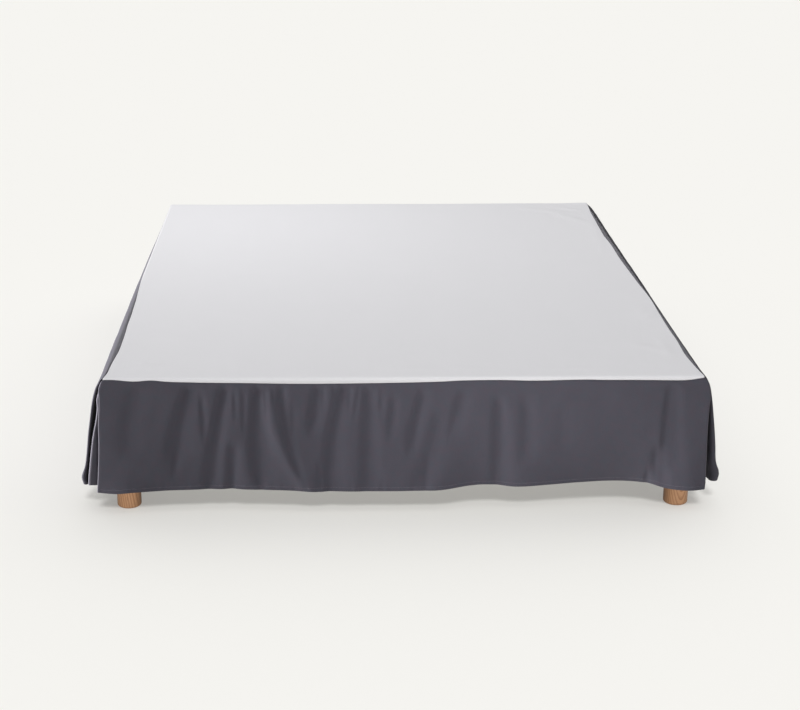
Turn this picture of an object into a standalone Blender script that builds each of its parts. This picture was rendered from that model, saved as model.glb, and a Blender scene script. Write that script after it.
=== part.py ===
"""Bed skirt on a bed base.

A white platform sheet lies on an upholstered base and turns over its edges. A grey
skirt is gathered to it down both sides and across the foot, with an open pleat at
each foot corner: the foot panel and the side panel both fold back behind their own
edge, and an underlay hangs behind the opening. The base stands on four oak feet.

Metres, +Z up. The origin is on the floor under the middle of the base, -Y is the
foot end, and +X is the right side seen from the foot.
"""
import math
from collections import namedtuple

import bmesh
import bpy

# ---------------------------------------------------------------- driving sizes
LENGTH = 2.000          # over the cloth, foot end to head end
WIDTH = 1.600           # over the cloth, side to side, at the top edge
TOP = 0.385             # floor to the face of the platform sheet
HEM = 0.062             # floor to the hem, where a table gives no other height
CLOTH = 0.0015          # thickness of every sheet
ROLL = 0.009            # outer radius of the cloth where it turns over the edge

BASE_SET_IN = 0.015     # the base is this much smaller than the cloth all round
BASE_HEIGHT = 0.198
BASE_REST = 0.0005      # between the base and the sheet that lies on it
BASE_EDGE = 0.014       # rounding of the base's edges
BASE_EDGE_STEPS = 3

FOOT_RADIUS = 0.033
FOOT_SIDE_IN = 0.050    # from the cloth's plan to the middle of a foot, at the sides
FOOT_END_IN = 0.059     # and at the ends
FOOT_SHIFT = 0.003      # how far to the right of the middle the four feet stand
FOOT_ROUND = 0.006
FOOT_SIDES = 32
FOOT_REST = 0.0003      # between a foot and the base

SEAM_GAP = 0.0014       # between the platform sheet and the skirt below it
SEAM_LIP = 0.0015       # from the skirt's top to its next row of points
SEAM_HOLD = 0.004       # from the side seams to the platform's next row of points
SIDE_MARGIN = 0.030     # width of the platform's strip that turns over the sides
FOOT_MARGIN = 0.011     # and over the foot end
CORNER_TIP = 0.004      # how far its foot corners stop short of a sharp corner
LIP = 0.024             # drop at which the cloth hangs free of the edge
RETURN = 0.070          # cloth folded back behind a corner edge
RETURN_TOP = 0.020      # drop at which the returns and the underlay start
FOLD_TOP = 0.0075       # drop at which the corner folds start
TIGHT_FOLD = 0.0028     # outer radius of the foot panel's pressed corner fold
LAYER = 0.0020          # from one layer's face to the next face behind it
CREASE = 0.004          # rounding of the underlay's corner crease
HOLLOW = 0.804          # from the middle to where the underlay lies back fully
HOLLOW_WIDE = 0.016     # width over which it goes back
DIP = 0.012             # how much deeper it lies there than at its crease
DIP_WIDE = 0.011        # from the foot panel's edge to where it is flat again
DIP_STEEP = 0.6         # most depth of the dip for its width
PLEAT_UP = 0.0005       # how much higher than the panels the underlay ends
CORNER_FROM = 0.66      # from the middle to where the corner's layers begin
CORNER_FULL = 0.72      # and to where all three hang
SIDE_DRAPE = 0.010      # how far the side panels stand out at the hem
SWELL_DROP = 0.012      # drop over which they swell out below their seams
CORNER_FLARE = 0.120    # length over which the corner flare dies away
FOLD_ROOM = 0.0095      # deepest that folds may lie towards the base
CORNER_ROOM = 0.0038    # the same where three layers hang
LEFT, RIGHT = -1, 1

# ---------------------------------------------------------------------- tables
Seam = namedtuple("Seam", "place amount")
Hem = namedtuple("Hem", "place height inward")
Corner = namedtuple("Corner", "drop panel crease crease_back fold fold_back soft")
Fold = namedtuple("Fold", "top middle hem first last depth steep soft spread")


def table(kind, *rows):
    """Rows of numbers as a list of named rows."""
    return [kind(*row) for row in rows]


# Drop of the seam below the top, across the foot end.
FOOT_SEAM = table(
    Seam,
    (-0.800, 0.0030), (-0.770, 0.0030), (-0.715, 0.0073), (-0.667, 0.0048),
    (-0.625, 0.0085), (-0.543, 0.0116), (-0.418, 0.0135), (-0.285, 0.0160),
    (-0.141, 0.0158), (0.010, 0.0140), (0.102, 0.0117), (0.150, 0.0088),
    (0.255, 0.0079), (0.347, 0.0103), (0.471, 0.0077), (0.532, 0.0090),
    (0.614, 0.0095), (0.696, 0.0111), (0.746, 0.0110), (0.780, 0.0064),
    (0.800, 0.0035))

# Distance of the seam in from the side, from the foot end to the head end.
SIDE_SEAM = {
    LEFT: table(
        Seam,
        (0.000, 0.0035), (0.050, 0.0110), (0.120, 0.0130), (0.240, 0.0192),
        (0.335, 0.0190), (0.405, 0.0180), (0.470, 0.0160), (0.560, 0.0155),
        (0.645, 0.0137), (0.730, 0.0117), (0.815, 0.0082), (0.900, 0.0050),
        (1.000, 0.0020), (1.120, 0.0015), (1.350, 0.0015), (2.000, 0.0010)),
    RIGHT: table(
        Seam,
        (0.000, 0.0035), (0.045, 0.0095), (0.125, 0.0155), (0.190, 0.0180),
        (0.300, 0.0145), (0.380, 0.0150), (0.460, 0.0145), (0.550, 0.0128),
        (0.730, 0.0090), (0.880, 0.0138), (1.050, 0.0172), (1.210, 0.0195),
        (1.380, 0.0178), (1.490, 0.0215), (1.600, 0.0190), (1.730, 0.0155),
        (1.850, 0.0120), (2.000, 0.0020)),
}

# How far a side panel swells out just below its seam.
SIDE_SWELL = {
    LEFT: table(
        Seam,
        (0.000, 0.0070), (0.300, 0.0080), (0.700, 0.0076), (1.000, 0.0080),
        (1.300, 0.0070), (1.700, 0.0025), (2.000, 0.0000)),
    RIGHT: table(
        Seam,
        (0.000, -0.0025), (0.100, -0.0050), (0.300, -0.0042), (0.500, -0.0010),
        (0.700, 0.0015), (0.850, 0.0048), (1.300, 0.0066), (1.600, 0.0080),
        (1.800, 0.0110), (2.000, 0.0105)),
}

# The hem across the foot end: its height, and how far it swings in under the base.
FOOT_HEM = table(
    Hem,
    (-0.822, 0.0616, -0.002), (-0.755, 0.0578, -0.008), (-0.706, 0.0613, -0.005),
    (-0.627, 0.0626, 0.0045), (-0.481, 0.0634, 0.009), (-0.335, 0.0624, 0.002),
    (-0.195, 0.0600, -0.003), (0.048, 0.0604, -0.003), (0.105, 0.0620, -0.002),
    (0.182, 0.0671, 0.017), (0.221, 0.0684, 0.020), (0.293, 0.0650, 0.0115),
    (0.337, 0.0656, 0.012), (0.466, 0.0696, 0.027), (0.574, 0.0714, 0.035),
    (0.657, 0.0690, 0.025), (0.698, 0.0610, 0.009), (0.765, 0.0592, -0.0085),
    (0.817, 0.0617, -0.004))

# The side panels' hems, from the foot end to the head end.
SIDE_HEM = {
    LEFT: table(
        Hem,
        (0.000, 0.0617, 0), (0.250, 0.0607, 0), (0.520, 0.0642, 0),
        (0.860, 0.0602, 0), (1.180, 0.0627, 0), (1.540, 0.0592, 0),
        (1.820, 0.0622, 0), (2.000, 0.0607, 0)),
    RIGHT: table(
        Hem,
        (0.000, 0.0617, 0), (0.310, 0.0632, 0), (0.640, 0.0597, 0),
        (0.990, 0.0637, 0), (1.330, 0.0607, 0), (1.700, 0.0632, 0),
        (2.000, 0.0602, 0)),
}

# The open pleats. For each drop below the top: how far the foot panel's edge, the
# underlay's crease and the side panel's fold stand out past the side, how far the
# last two lie behind the foot panel, and the radius of the side panel's fold.
CORNERS = {
    LEFT: table(
        Corner,
        (0.003, -0.0025, -0.0060, 0.0075, 0.0030, 0.0090, 0.0033),
        (0.010, 0.0010, -0.0050, 0.0075, 0.0068, 0.0085, 0.0033),
        (0.030, 0.0078, 0.0060, 0.0085, 0.0172, 0.0100, 0.0033),
        (0.060, 0.0083, 0.0155, 0.0105, 0.0263, 0.0150, 0.0031),
        (0.090, 0.0100, 0.0165, 0.0135, 0.0328, 0.0200, 0.0028),
        (0.125, 0.0132, 0.0227, 0.0180, 0.0388, 0.0260, 0.0026),
        (0.170, 0.0142, 0.0333, 0.0280, 0.0466, 0.0330, 0.0026),
        (0.215, 0.0163, 0.0413, 0.0340, 0.0529, 0.0390, 0.0028),
        (0.265, 0.0200, 0.0487, 0.0390, 0.0614, 0.0440, 0.0032),
        (0.300, 0.0232, 0.0537, 0.0430, 0.0732, 0.0490, 0.0060),
        (0.322, 0.0250, 0.0555, 0.0445, 0.0700, 0.0500, 0.0070)),
    RIGHT: table(
        Corner,
        (0.003, -0.0025, -0.0060, 0.0075, 0.0000, 0.0090, 0.0033),
        (0.010, 0.0030, -0.0050, 0.0075, 0.0040, 0.0080, 0.0033),
        (0.030, 0.0108, 0.0020, 0.0085, 0.0138, 0.0100, 0.0034),
        (0.060, 0.0148, 0.0080, 0.0110, 0.0218, 0.0150, 0.0036),
        (0.090, 0.0142, 0.0110, 0.0150, 0.0281, 0.0200, 0.0044),
        (0.125, 0.0138, 0.0130, 0.0230, 0.0348, 0.0260, 0.0058),
        (0.170, 0.0143, 0.0160, 0.0320, 0.0430, 0.0330, 0.0078),
        (0.215, 0.0159, 0.0185, 0.0400, 0.0501, 0.0390, 0.0096),
        (0.265, 0.0171, 0.0215, 0.0480, 0.0567, 0.0440, 0.0112),
        (0.300, 0.0182, 0.0235, 0.0540, 0.0695, 0.0490, 0.0135),
        (0.322, 0.0174, 0.0225, 0.0560, 0.0668, 0.0500, 0.0125)),
}

# The foot panel's folds. Each runs through three places across the panel, at the
# seam, half-way down and at the hem, between two shares of the drop; steep and soft
# are the widths of its left and right walls, and spread is how much wider it gets.
FOOT_FOLDS = table(
    Fold,
    (-0.712, -0.748, -0.735, 0.00, 0.75, 0.0035, 0.020, 0.028, 1.2),
    (-0.571, -0.622, -0.642, 0.00, 0.80, 0.0080, 0.012, 0.030, 1.8),
    (-0.480, -0.514, -0.540, 0.00, 1.10, 0.0090, 0.010, 0.018, 1.6),
    (-0.392, -0.408, -0.394, 0.00, 1.05, 0.0100, 0.010, 0.026, 1.8),
    (-0.460, -0.465, -0.476, 0.55, 1.20, 0.0060, 0.008, 0.010, 2.2),
    (-0.385, -0.352, -0.270, 0.05, 1.20, -0.0060, 0.018, 0.022, 1.6),
    (-0.331, -0.322, -0.262, 0.00, 0.98, 0.0060, 0.009, 0.014, 1.3),
    (-0.236, -0.258, -0.270, 0.00, 0.55, 0.0080, 0.010, 0.018, 1.4),
    (-0.163, -0.203, -0.208, 0.00, 1.10, 0.0090, 0.010, 0.022, 1.7),
    (-0.105, -0.108, -0.111, 0.02, 1.10, 0.0070, 0.010, 0.018, 2.0),
    (-0.029, -0.044, -0.055, 0.12, 0.62, 0.0040, 0.010, 0.014, 1.4),
    (0.056, 0.013, 0.010, 0.07, 0.74, 0.0060, 0.010, 0.020, 1.3),
    (0.085, 0.070, 0.020, 0.28, 1.10, 0.0050, 0.018, 0.025, 1.5),
    (0.155, 0.118, 0.100, 0.07, 0.62, 0.0045, 0.011, 0.022, 1.4),
    (0.238, 0.245, 0.243, 0.14, 1.20, 0.0060, 0.010, 0.013, 2.6),
    (0.310, 0.316, 0.308, 0.14, 0.84, 0.0040, 0.014, 0.020, 1.5),
    (0.702, 0.706, 0.722, 0.00, 0.92, 0.0050, 0.014, 0.018, 1.6),
    (0.671, 0.673, 0.676, 0.60, 1.02, 0.0055, 0.011, 0.014, 1.3))

# The side panels' folds, placed from the foot end.
SIDE_FOLDS = {
    LEFT: table(
        Fold,
        (0.270, 0.262, 0.250, 0.00, 1.20, 0.0080, 0.022, 0.030, 1.7),
        (0.395, 0.415, 0.430, 0.00, 0.90, 0.0070, 0.018, 0.026, 1.6),
        (0.560, 0.575, 0.590, 0.00, 1.20, 0.0090, 0.020, 0.034, 1.8),
        (0.700, 0.690, 0.680, 0.10, 1.20, -0.0060, 0.030, 0.034, 1.5),
        (0.815, 0.800, 0.790, 0.00, 1.20, 0.0080, 0.018, 0.028, 1.9),
        (0.985, 1.000, 1.020, 0.00, 0.80, 0.0070, 0.020, 0.030, 1.5),
        (1.160, 1.150, 1.150, 0.00, 1.20, 0.0090, 0.022, 0.034, 1.8),
        (1.330, 1.345, 1.350, 0.20, 1.20, -0.0060, 0.032, 0.040, 1.4),
        (1.470, 1.480, 1.500, 0.00, 1.20, 0.0080, 0.020, 0.032, 1.7),
        (1.640, 1.630, 1.620, 0.00, 0.85, 0.0070, 0.020, 0.028, 1.6),
        (1.820, 1.825, 1.840, 0.00, 1.20, 0.0080, 0.022, 0.034, 1.8)),
    RIGHT: table(
        Fold,
        (0.300, 0.290, 0.285, 0.00, 1.20, 0.0080, 0.024, 0.030, 1.7),
        (0.440, 0.450, 0.470, 0.00, 1.20, 0.0080, 0.020, 0.030, 1.7),
        (0.620, 0.600, 0.590, 0.10, 1.20, -0.0060, 0.030, 0.036, 1.5),
        (0.730, 0.740, 0.745, 0.00, 0.85, 0.0070, 0.018, 0.028, 1.6),
        (0.900, 0.915, 0.930, 0.00, 1.20, 0.0090, 0.022, 0.034, 1.8),
        (1.110, 1.100, 1.080, 0.00, 1.20, 0.0080, 0.020, 0.032, 1.7),
        (1.270, 1.280, 1.300, 0.00, 0.80, 0.0070, 0.020, 0.030, 1.5),
        (1.450, 1.440, 1.430, 0.00, 1.20, 0.0090, 0.022, 0.034, 1.9),
        (1.600, 1.610, 1.620, 0.15, 1.20, -0.0050, 0.032, 0.036, 1.5),
        (1.760, 1.750, 1.745, 0.00, 1.20, 0.0080, 0.020, 0.030, 1.8),
        (1.900, 1.905, 1.910, 0.00, 0.90, 0.0060, 0.018, 0.026, 1.5)),
}

# Shares of a length at which a sheet has a row of points: of the turn over the edge,
# and of the free hanging length below it.
FOOT_TURN = (1.0,)
SIDE_TURN = (0.0, 0.5, 1.0)
FOOT_HANG = (0.10, 0.27, 0.45, 0.63, 0.82, 1.0)
SIDE_HANG = (0.10, 0.27, 0.46, 0.70, 0.93, 1.0)


# ----------------------------------------------------------------- small maths
def mix(start, stop, share):
    return start + (stop - start) * share


def ease(start, stop, place):
    """0 before start, 1 after stop, and smooth between them."""
    share = min(max((place - start) / (stop - start), 0.0), 1.0)
    return share * share * (3 - 2 * share)


def spaced(start, stop, pitch):
    """Places from start to just before stop, about one pitch apart."""
    count = max(round((stop - start) / pitch), 1)
    return [mix(start, stop, i / count) for i in range(count)]


def read(rows, place):
    """A table's row at any place along its first column, on a smooth curve."""
    place = min(max(place, rows[0][0]), rows[-1][0])
    last = len(rows) - 1
    i = next(k for k in range(last) if place <= rows[k + 1][0])
    before, start = rows[max(i - 1, 0)], rows[i]
    stop, after = rows[i + 1], rows[min(i + 2, last)]
    step = stop[0] - start[0]
    t = (place - start[0]) / step
    values = []
    for a, b, c, d in zip(before, start, stop, after):
        leaving = (c - a) / (stop[0] - before[0]) * step
        arriving = (d - b) / (after[0] - start[0]) * step
        bend = (2 * b - 2 * c + leaving + arriving) * t ** 3
        bow = (3 * c - 3 * b - 2 * leaving - arriving) * t ** 2
        values.append(b + leaving * t + bow + bend)
    return type(start)(*values)


# -------------------------------------------------------- the cloth's surfaces
def over_edge(run):
    """(past the edge, drop) of cloth that turns over it; run starts at the turn."""
    if run <= 0:
        return run - ROLL, 0.0
    if run < ROLL * math.pi / 2:
        angle = run / ROLL
        return ROLL * (math.sin(angle) - 1), ROLL * (1 - math.cos(angle))
    return 0.0, run - ROLL * (math.pi / 2 - 1)


def run_at_drop(drop):
    if drop < ROLL:
        return ROLL * math.acos(1 - drop / ROLL)
    return drop + ROLL * (math.pi / 2 - 1)


def run_at_inset(inset):
    if inset > ROLL:
        return ROLL - inset
    return ROLL * math.asin(1 - inset / ROLL)


def roll_in(drop):
    """How far in the face of the cloth lies while it still turns over the edge."""
    return ROLL - math.sqrt(ROLL ** 2 - max(ROLL - drop, 0.0) ** 2)


def folds_in(folds, place, share, room):
    """How far in the cloth lies for its folds, at a share of its drop."""
    total = 0.0
    at_seam = ease(0.0, 0.10, share)
    for fold in folds:
        line = (fold.top * (1 - share) * (1 - 2 * share)
                + fold.middle * 4 * share * (1 - share)
                + fold.hem * share * (2 * share - 1))
        wider = mix(1, fold.spread, share)
        off = (place - line) / wider - 0.7 * fold.steep
        width = fold.steep if off < 0 else fold.soft
        fade_in = at_seam * ease(fold.first - 0.04, fold.first + 0.12, share)
        fade_out = 1 - ease(fold.last - 0.25, fold.last, share)
        depth = fold.depth * fade_in * fade_out
        total += depth * math.exp(-(off / width) ** 2)
    return room * math.tanh(total / room)


def hem_drop(row):
    return TOP - row.height


def foot_across(across, drop):
    """X of a place on the foot panel, which spreads a little towards its hem."""
    left = -read(CORNERS[LEFT], drop).panel
    right = read(CORNERS[RIGHT], drop).panel
    return across + mix(left, right, across / WIDTH + 0.5)


def foot_face(x, drop):
    """Y of the foot panel's face."""
    hem = read(FOOT_HEM, x)
    share = min(max((drop - ROLL) / (hem_drop(hem) - ROLL), 0.0), 1.0)
    corner = ease(CORNER_FROM, CORNER_FULL, abs(x))
    room = mix(FOLD_ROOM, CORNER_ROOM, corner)
    folds = folds_in(FOOT_FOLDS, x, share, room)
    return -LENGTH / 2 + roll_in(drop) + hem.inward * share ** 3 + folds


def side_face(side, place, drop):
    """How far past the base's centre line a side panel's face lies."""
    hem = read(SIDE_HEM[side], place)
    share = min(max((drop - ROLL) / (hem_drop(hem) - ROLL), 0.0), 1.0)
    corner = read(CORNERS[side], drop)
    behind = max(place - corner.fold_back, 0.0) / CORNER_FLARE
    flare = math.exp(-behind ** 2) if drop > ROLL / 2 else 0.0
    _, seam = over_edge(run_at_inset(read(SIDE_SEAM[side], place).amount))
    swell = read(SIDE_SWELL[side], place).amount * ease(seam, seam + SWELL_DROP, drop)
    drape = mix(swell, SIDE_DRAPE, share)
    folds = folds_in(SIDE_FOLDS[side], place, share, FOLD_ROOM) * (1 - flare)
    out = drape + (corner.fold - drape) * flare - folds
    return WIDTH / 2 - roll_in(drop) + out


# ------------------------------------------------------------------- mesh tools
def material(name, colour, roughness):
    made = bpy.data.materials.new(name)
    made.use_nodes = True
    shader = made.node_tree.nodes["Principled BSDF"]
    shader.inputs["Base Color"].default_value = (*colour, 1)
    shader.inputs["Roughness"].default_value = roughness
    shader.inputs["Metallic"].default_value = 0.0
    return made


def place_object(name, mesh, finish, parent):
    made = bpy.data.objects.new(name, mesh)
    made.data.materials.append(finish)
    made.parent = parent
    bpy.context.scene.collection.objects.link(made)
    return made


def thicken(made):
    """Turn a surface into cloth, its first face staying outermost."""
    solid = made.modifiers.new("cloth thickness", "SOLIDIFY")
    solid.thickness = CLOTH
    solid.offset = -1
    solid.use_even_offset = True


def sheet(name, columns, finish, parent, side=RIGHT):
    """Cloth through columns of points, each from top to hem; side mirrors it."""
    shape = bmesh.new()
    grid = [[shape.verts.new(point) for point in column] for column in columns]
    for here, there in zip(grid, grid[1:]):
        for row in range(len(here) - 1):
            corners = [here[row], here[row + 1], there[row + 1], there[row]]
            shape.faces.new(corners if side == RIGHT else corners[::-1])
    mesh = bpy.data.meshes.new(name)
    shape.to_mesh(mesh)
    shape.free()
    mesh.shade_smooth()
    made = place_object(name, mesh, finish, parent)
    thicken(made)
    return made


def lip_runs(seam_run, turn):
    """Runs of a panel's points from its seam, over the turn, to the free lip."""
    start = max(seam_run + SEAM_LIP, 0.0)
    stop = max(ROLL * math.pi / 2, start)
    return [seam_run] + [mix(start, stop, share) for share in turn] + [run_at_drop(LIP)]


def hang_drops(full_drop, hang):
    return [mix(LIP, full_drop, share) for share in hang]


def return_drops(full_drop, turn, hang, start=RETURN_TOP):
    """Drops of a column behind the face, with as many points, from lower down."""
    steps = len(turn) + 1
    lip = [mix(start, LIP, i / steps) for i in range(steps + 1)]
    return lip + hang_drops(full_drop, hang)


# --------------------------------------------------------------------- pieces
def foot_panel_stations():
    """Places across the foot panel, closer together where it is gathered."""
    edge = WIDTH / 2 - 2 * TIGHT_FOLD
    return (spaced(-edge, -0.66, 0.028) + spaced(-0.66, 0.12, 0.0156)
            + spaced(0.12, 0.36, 0.026) + spaced(0.36, 0.64, 0.046)
            + spaced(0.64, edge, 0.018) + [edge])


def side_panel_stations():
    """Places along a side panel, closer together at the foot corner."""
    return spaced(0.0, 0.240, 0.040) + spaced(0.240, LENGTH, 0.071) + [LENGTH]


def foot_corner_columns(side):
    """The pressed fold at one corner and the return behind it, from the panel out."""
    columns = []
    turn = [(math.pi * i / 4, mix(FOLD_TOP, RETURN_TOP, i / 4)) for i in range(1, 5)]
    for angle, start in turn:
        edge = WIDTH / 2 - TIGHT_FOLD * (1 - math.sin(angle))
        behind = TIGHT_FOLD * (1 - math.cos(angle))
        columns.append((edge, behind, start))
    for back in (0.012, 0.030, 0.050, RETURN):
        columns.append((WIDTH / 2 - back, 2 * TIGHT_FOLD, RETURN_TOP))
    made = []
    for edge, behind, start in columns:
        hem = read(FOOT_HEM, side * edge)
        column = []
        for drop in return_drops(hem_drop(hem), FOOT_TURN, FOOT_HANG, start):
            x = foot_across(side * edge, drop)
            column.append((x, foot_face(x, drop) + behind, TOP - drop))
        made.append(column)
    return made


def make_skirt_foot(finish, parent):
    """Foot panel: gathered across the foot, folded back behind both its ends."""
    columns = []
    for across in foot_panel_stations():
        seam_run = run_at_drop(read(FOOT_SEAM, across).amount) + SEAM_GAP
        lip = [over_edge(run)[1] for run in lip_runs(seam_run, FOOT_TURN)]
        column = []
        full = hem_drop(read(FOOT_HEM, across))
        for drop in lip + hang_drops(full, FOOT_HANG):
            x = foot_across(across, drop)
            column.append((x, foot_face(x, drop), TOP - drop))
        columns.append(column)
    left, right = foot_corner_columns(LEFT), foot_corner_columns(RIGHT)
    return sheet("skirt_foot", left[::-1] + columns + right, finish, parent)


def make_skirt_side(side, finish, parent):
    """Side panel, with its soft fold and return at the foot corner."""
    name = "skirt_left" if side == LEFT else "skirt_right"
    full = hem_drop(read(SIDE_HEM[side], 0.0))

    def point(place, drop, under):
        x = side * (side_face(side, place, drop) - under)
        return (x, place - LENGTH / 2, TOP - drop)

    returned = []
    for back in (RETURN, 0.040, 0.018):
        column = []
        for drop in return_drops(full, SIDE_TURN, SIDE_HANG):
            corner = read(CORNERS[side], drop)
            radius = corner.soft
            place = corner.fold_back + radius + back
            column.append(point(place, drop, 2 * radius))
        returned.append(column)
    turned = []
    for i in range(4):
        angle = math.pi * (1 - i / 4)
        column = []
        start = mix(RETURN_TOP, FOLD_TOP, i / 4)
        for drop in return_drops(full, SIDE_TURN, SIDE_HANG, start):
            corner = read(CORNERS[side], drop)
            radius = corner.soft
            place = corner.fold_back + radius * (1 - math.sin(angle))
            column.append(point(place, drop, radius * (1 - math.cos(angle))))
        turned.append(column)
    panel = []
    for station in side_panel_stations():
        inset = read(SIDE_SEAM[side], station).amount
        seam_run = run_at_inset(inset) + SEAM_GAP
        column = []
        for run in lip_runs(seam_run, SIDE_TURN):
            past, drop = over_edge(run)
            place = corner_place(side, station, drop)
            face = side_face(side, place, drop) if drop > 0 else WIDTH / 2 + past
            column.append((side * face, place - LENGTH / 2, TOP - drop))
        full = hem_drop(read(SIDE_HEM[side], station))
        for drop in hang_drops(full, SIDE_HANG):
            column.append(point(corner_place(side, station, drop), drop, 0.0))
        panel.append(column)
    return sheet(name, returned + turned + panel, finish, parent, side)


def corner_place(side, station, drop):
    """A station moved back with the corner fold, which slants away from the foot."""
    corner = read(CORNERS[side], drop)
    return station + (corner.fold_back + corner.soft) * (1 - ease(0.0, 0.30, station))


def make_pleat(side, finish, parent):
    """Underlay of one open corner: behind the foot panel, round to the side."""
    name = "pleat_left" if side == LEFT else "pleat_right"
    full = TOP - HEM - PLEAT_UP
    behind_foot = 2 * TIGHT_FOLD + LAYER
    rows = []
    for drop in return_drops(full, (), SIDE_HANG):
        corner = read(CORNERS[side], drop)
        behind_side = 2 * corner.soft + LAYER
        reach = WIDTH / 2 + corner.crease
        crease = (reach, corner.crease_back)
        row = []
        inner = WIDTH / 2 - RETURN
        hollow = min(HOLLOW, reach - 2 * CREASE)
        start = hollow - HOLLOW_WIDE
        level = min(WIDTH / 2 + corner.panel + DIP_WIDE, reach - 1.25 * CREASE)
        dip = min(DIP, DIP_STEEP * (level - hollow))
        places = [inner] + [mix(start, hollow, s) for s in (0.0, 0.3, 0.55, 0.8, 1.0)]
        for x in places + [mix(hollow, level, s) for s in (0.35, 0.65, 1.0)]:
            face = foot_face(side * x, drop) + LENGTH / 2 + behind_foot
            y = mix(face, crease[1] + dip, ease(start, hollow, x))
            row.append((x, y - dip * ease(hollow, level, x)))
        for angle in (math.pi / 8, math.pi / 4, 3 * math.pi / 8):
            row.append((crease[0] - CREASE * (1 - math.sin(angle)),
                        crease[1] + CREASE * (1 - math.cos(angle))))
        for share in (0.12, 0.35, 0.65, 1.0):
            place = crease[1] + CREASE + RETURN * share
            room = side_face(side, place, drop) - behind_side
            row.append((min(crease[0], room), place))
        rows.append([(side * x, y - LENGTH / 2, TOP - drop) for x, y in row])
    columns = [list(column) for column in zip(*rows)]
    return sheet(name, columns, finish, parent, side)


def make_platform(finish, parent):
    """Platform sheet: flat on the base, turned over its edges down to the seam."""
    inner_x = WIDTH / 2 - SIDE_MARGIN
    inner_y = LENGTH / 2 - FOOT_MARGIN

    def side_strip(side, station):
        seam_run = run_at_inset(read(SIDE_SEAM[side], station).amount)
        margin_run = ROLL - SIDE_MARGIN
        flat_end = min(0.0, seam_run - SEAM_HOLD)
        strip = []
        for run in (margin_run, flat_end, mix(flat_end, seam_run, 0.5), seam_run):
            past, drop = over_edge(run)
            y = corner_place(side, station, drop) - LENGTH / 2
            strip.append((side * (WIDTH / 2 + past), y, TOP - drop))
        return strip

    def foot_strip(across):
        seam_drop = read(FOOT_SEAM, across).amount
        start = min(max(across, -inner_x), inner_x)
        strip = []
        for share in (0.0, 1 / 3, 2 / 3, 1.0):
            past, drop = over_edge(run_at_drop(seam_drop) * share)
            x = mix(start, foot_across(across, seam_drop), share)
            strip.append((x, -LENGTH / 2 - past, TOP - drop))
        return strip

    def corner_strip(side):
        tip = (WIDTH / 2 - CORNER_TIP, LENGTH / 2 - CORNER_TIP)
        strip = []
        for share in (0.0, 1 / 3, 2 / 3, 1.0):
            x, y = mix(inner_x, tip[0], share), mix(inner_y, tip[1], share)
            past = max(x - WIDTH / 2, y - LENGTH / 2, -ROLL)
            drop = ROLL - math.sqrt(ROLL ** 2 - (past + ROLL) ** 2)
            strip.append((side * x, -y, TOP - drop))
        return strip

    strips = [side_strip(LEFT, place) for place in reversed(side_panel_stations())]
    strips += [corner_strip(LEFT)] + [foot_strip(x) for x in foot_panel_stations()]
    strips += [corner_strip(RIGHT)]
    strips += [side_strip(RIGHT, place) for place in side_panel_stations()]

    shape = bmesh.new()
    grid = [[shape.verts.new(point) for point in strip] for strip in strips]
    for here, there in zip(grid, grid[1:]):
        for i in range(len(here) - 1):
            shape.faces.new((here[i], here[i + 1], there[i + 1], there[i]))
    shape.faces.new([strip[0] for strip in grid])
    bmesh.ops.remove_doubles(shape, verts=shape.verts, dist=0.00005)
    mesh = bpy.data.meshes.new("platform")
    shape.to_mesh(mesh)
    shape.free()
    made = place_object("platform", mesh, finish, parent)
    thicken(made)
    return made


def make_base(finish, parent):
    """Upholstered base, a box with softly rounded edges."""
    shape = bmesh.new()
    bmesh.ops.create_cube(shape, size=1.0)
    size = (WIDTH - 2 * BASE_SET_IN, LENGTH - 2 * BASE_SET_IN, BASE_HEIGHT)
    bmesh.ops.scale(shape, vec=size, verts=shape.verts)
    mesh = bpy.data.meshes.new("base")
    shape.to_mesh(mesh)
    shape.free()
    made = place_object("base", mesh, finish, parent)
    made.location.z = TOP - CLOTH - BASE_REST - BASE_HEIGHT / 2
    rounding = made.modifiers.new("rounded edges", "BEVEL")
    rounding.width = BASE_EDGE
    rounding.segments = BASE_EDGE_STEPS
    return made


def make_feet(finish, parent):
    """Four turned feet, one object each, sharing a mesh."""
    height = TOP - CLOTH - BASE_REST - BASE_HEIGHT - FOOT_REST
    shape = bmesh.new()
    bmesh.ops.create_cone(shape, cap_ends=True, segments=FOOT_SIDES,
                          radius1=FOOT_RADIUS, radius2=FOOT_RADIUS, depth=height)
    bmesh.ops.translate(shape, vec=(0, 0, height / 2), verts=shape.verts)
    bottom = [edge for edge in shape.edges if all(v.co.z < 0.001 for v in edge.verts)]
    bmesh.ops.bevel(shape, geom=bottom, offset=FOOT_ROUND, segments=2, profile=0.5,
                    affect="EDGES")
    mesh = bpy.data.meshes.new("foot")
    shape.to_mesh(mesh)
    shape.free()
    mesh.shade_smooth()
    mesh.set_sharp_from_angle(angle=math.radians(50))
    for end, y in (("front", -1), ("back", 1)):
        for name, x in (("left", LEFT), ("right", RIGHT)):
            foot = place_object(f"foot_{end}_{name}", mesh, finish, parent)
            foot.location.x = x * (WIDTH / 2 - FOOT_SIDE_IN) + FOOT_SHIFT
            foot.location.y = y * (LENGTH / 2 - FOOT_END_IN)


def main():
    for old in list(bpy.data.objects):
        bpy.data.objects.remove(old)
    whole = bpy.data.objects.new("bed_skirt", None)
    bpy.context.scene.collection.objects.link(whole)
    white = material("white cotton", (0.66, 0.65, 0.67), 0.9)
    grey = material("grey cotton", (0.090, 0.083, 0.105), 0.85)
    upholstery = material("base upholstery", (0.55, 0.53, 0.50), 0.9)
    oak = material("oak", (0.33, 0.18, 0.10), 0.5)
    make_platform(white, whole)
    make_skirt_foot(grey, whole)
    for side in (LEFT, RIGHT):
        make_skirt_side(side, grey, whole)
        make_pleat(side, grey, whole)
    make_base(upholstery, whole)
    make_feet(oak, whole)


main()
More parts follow.
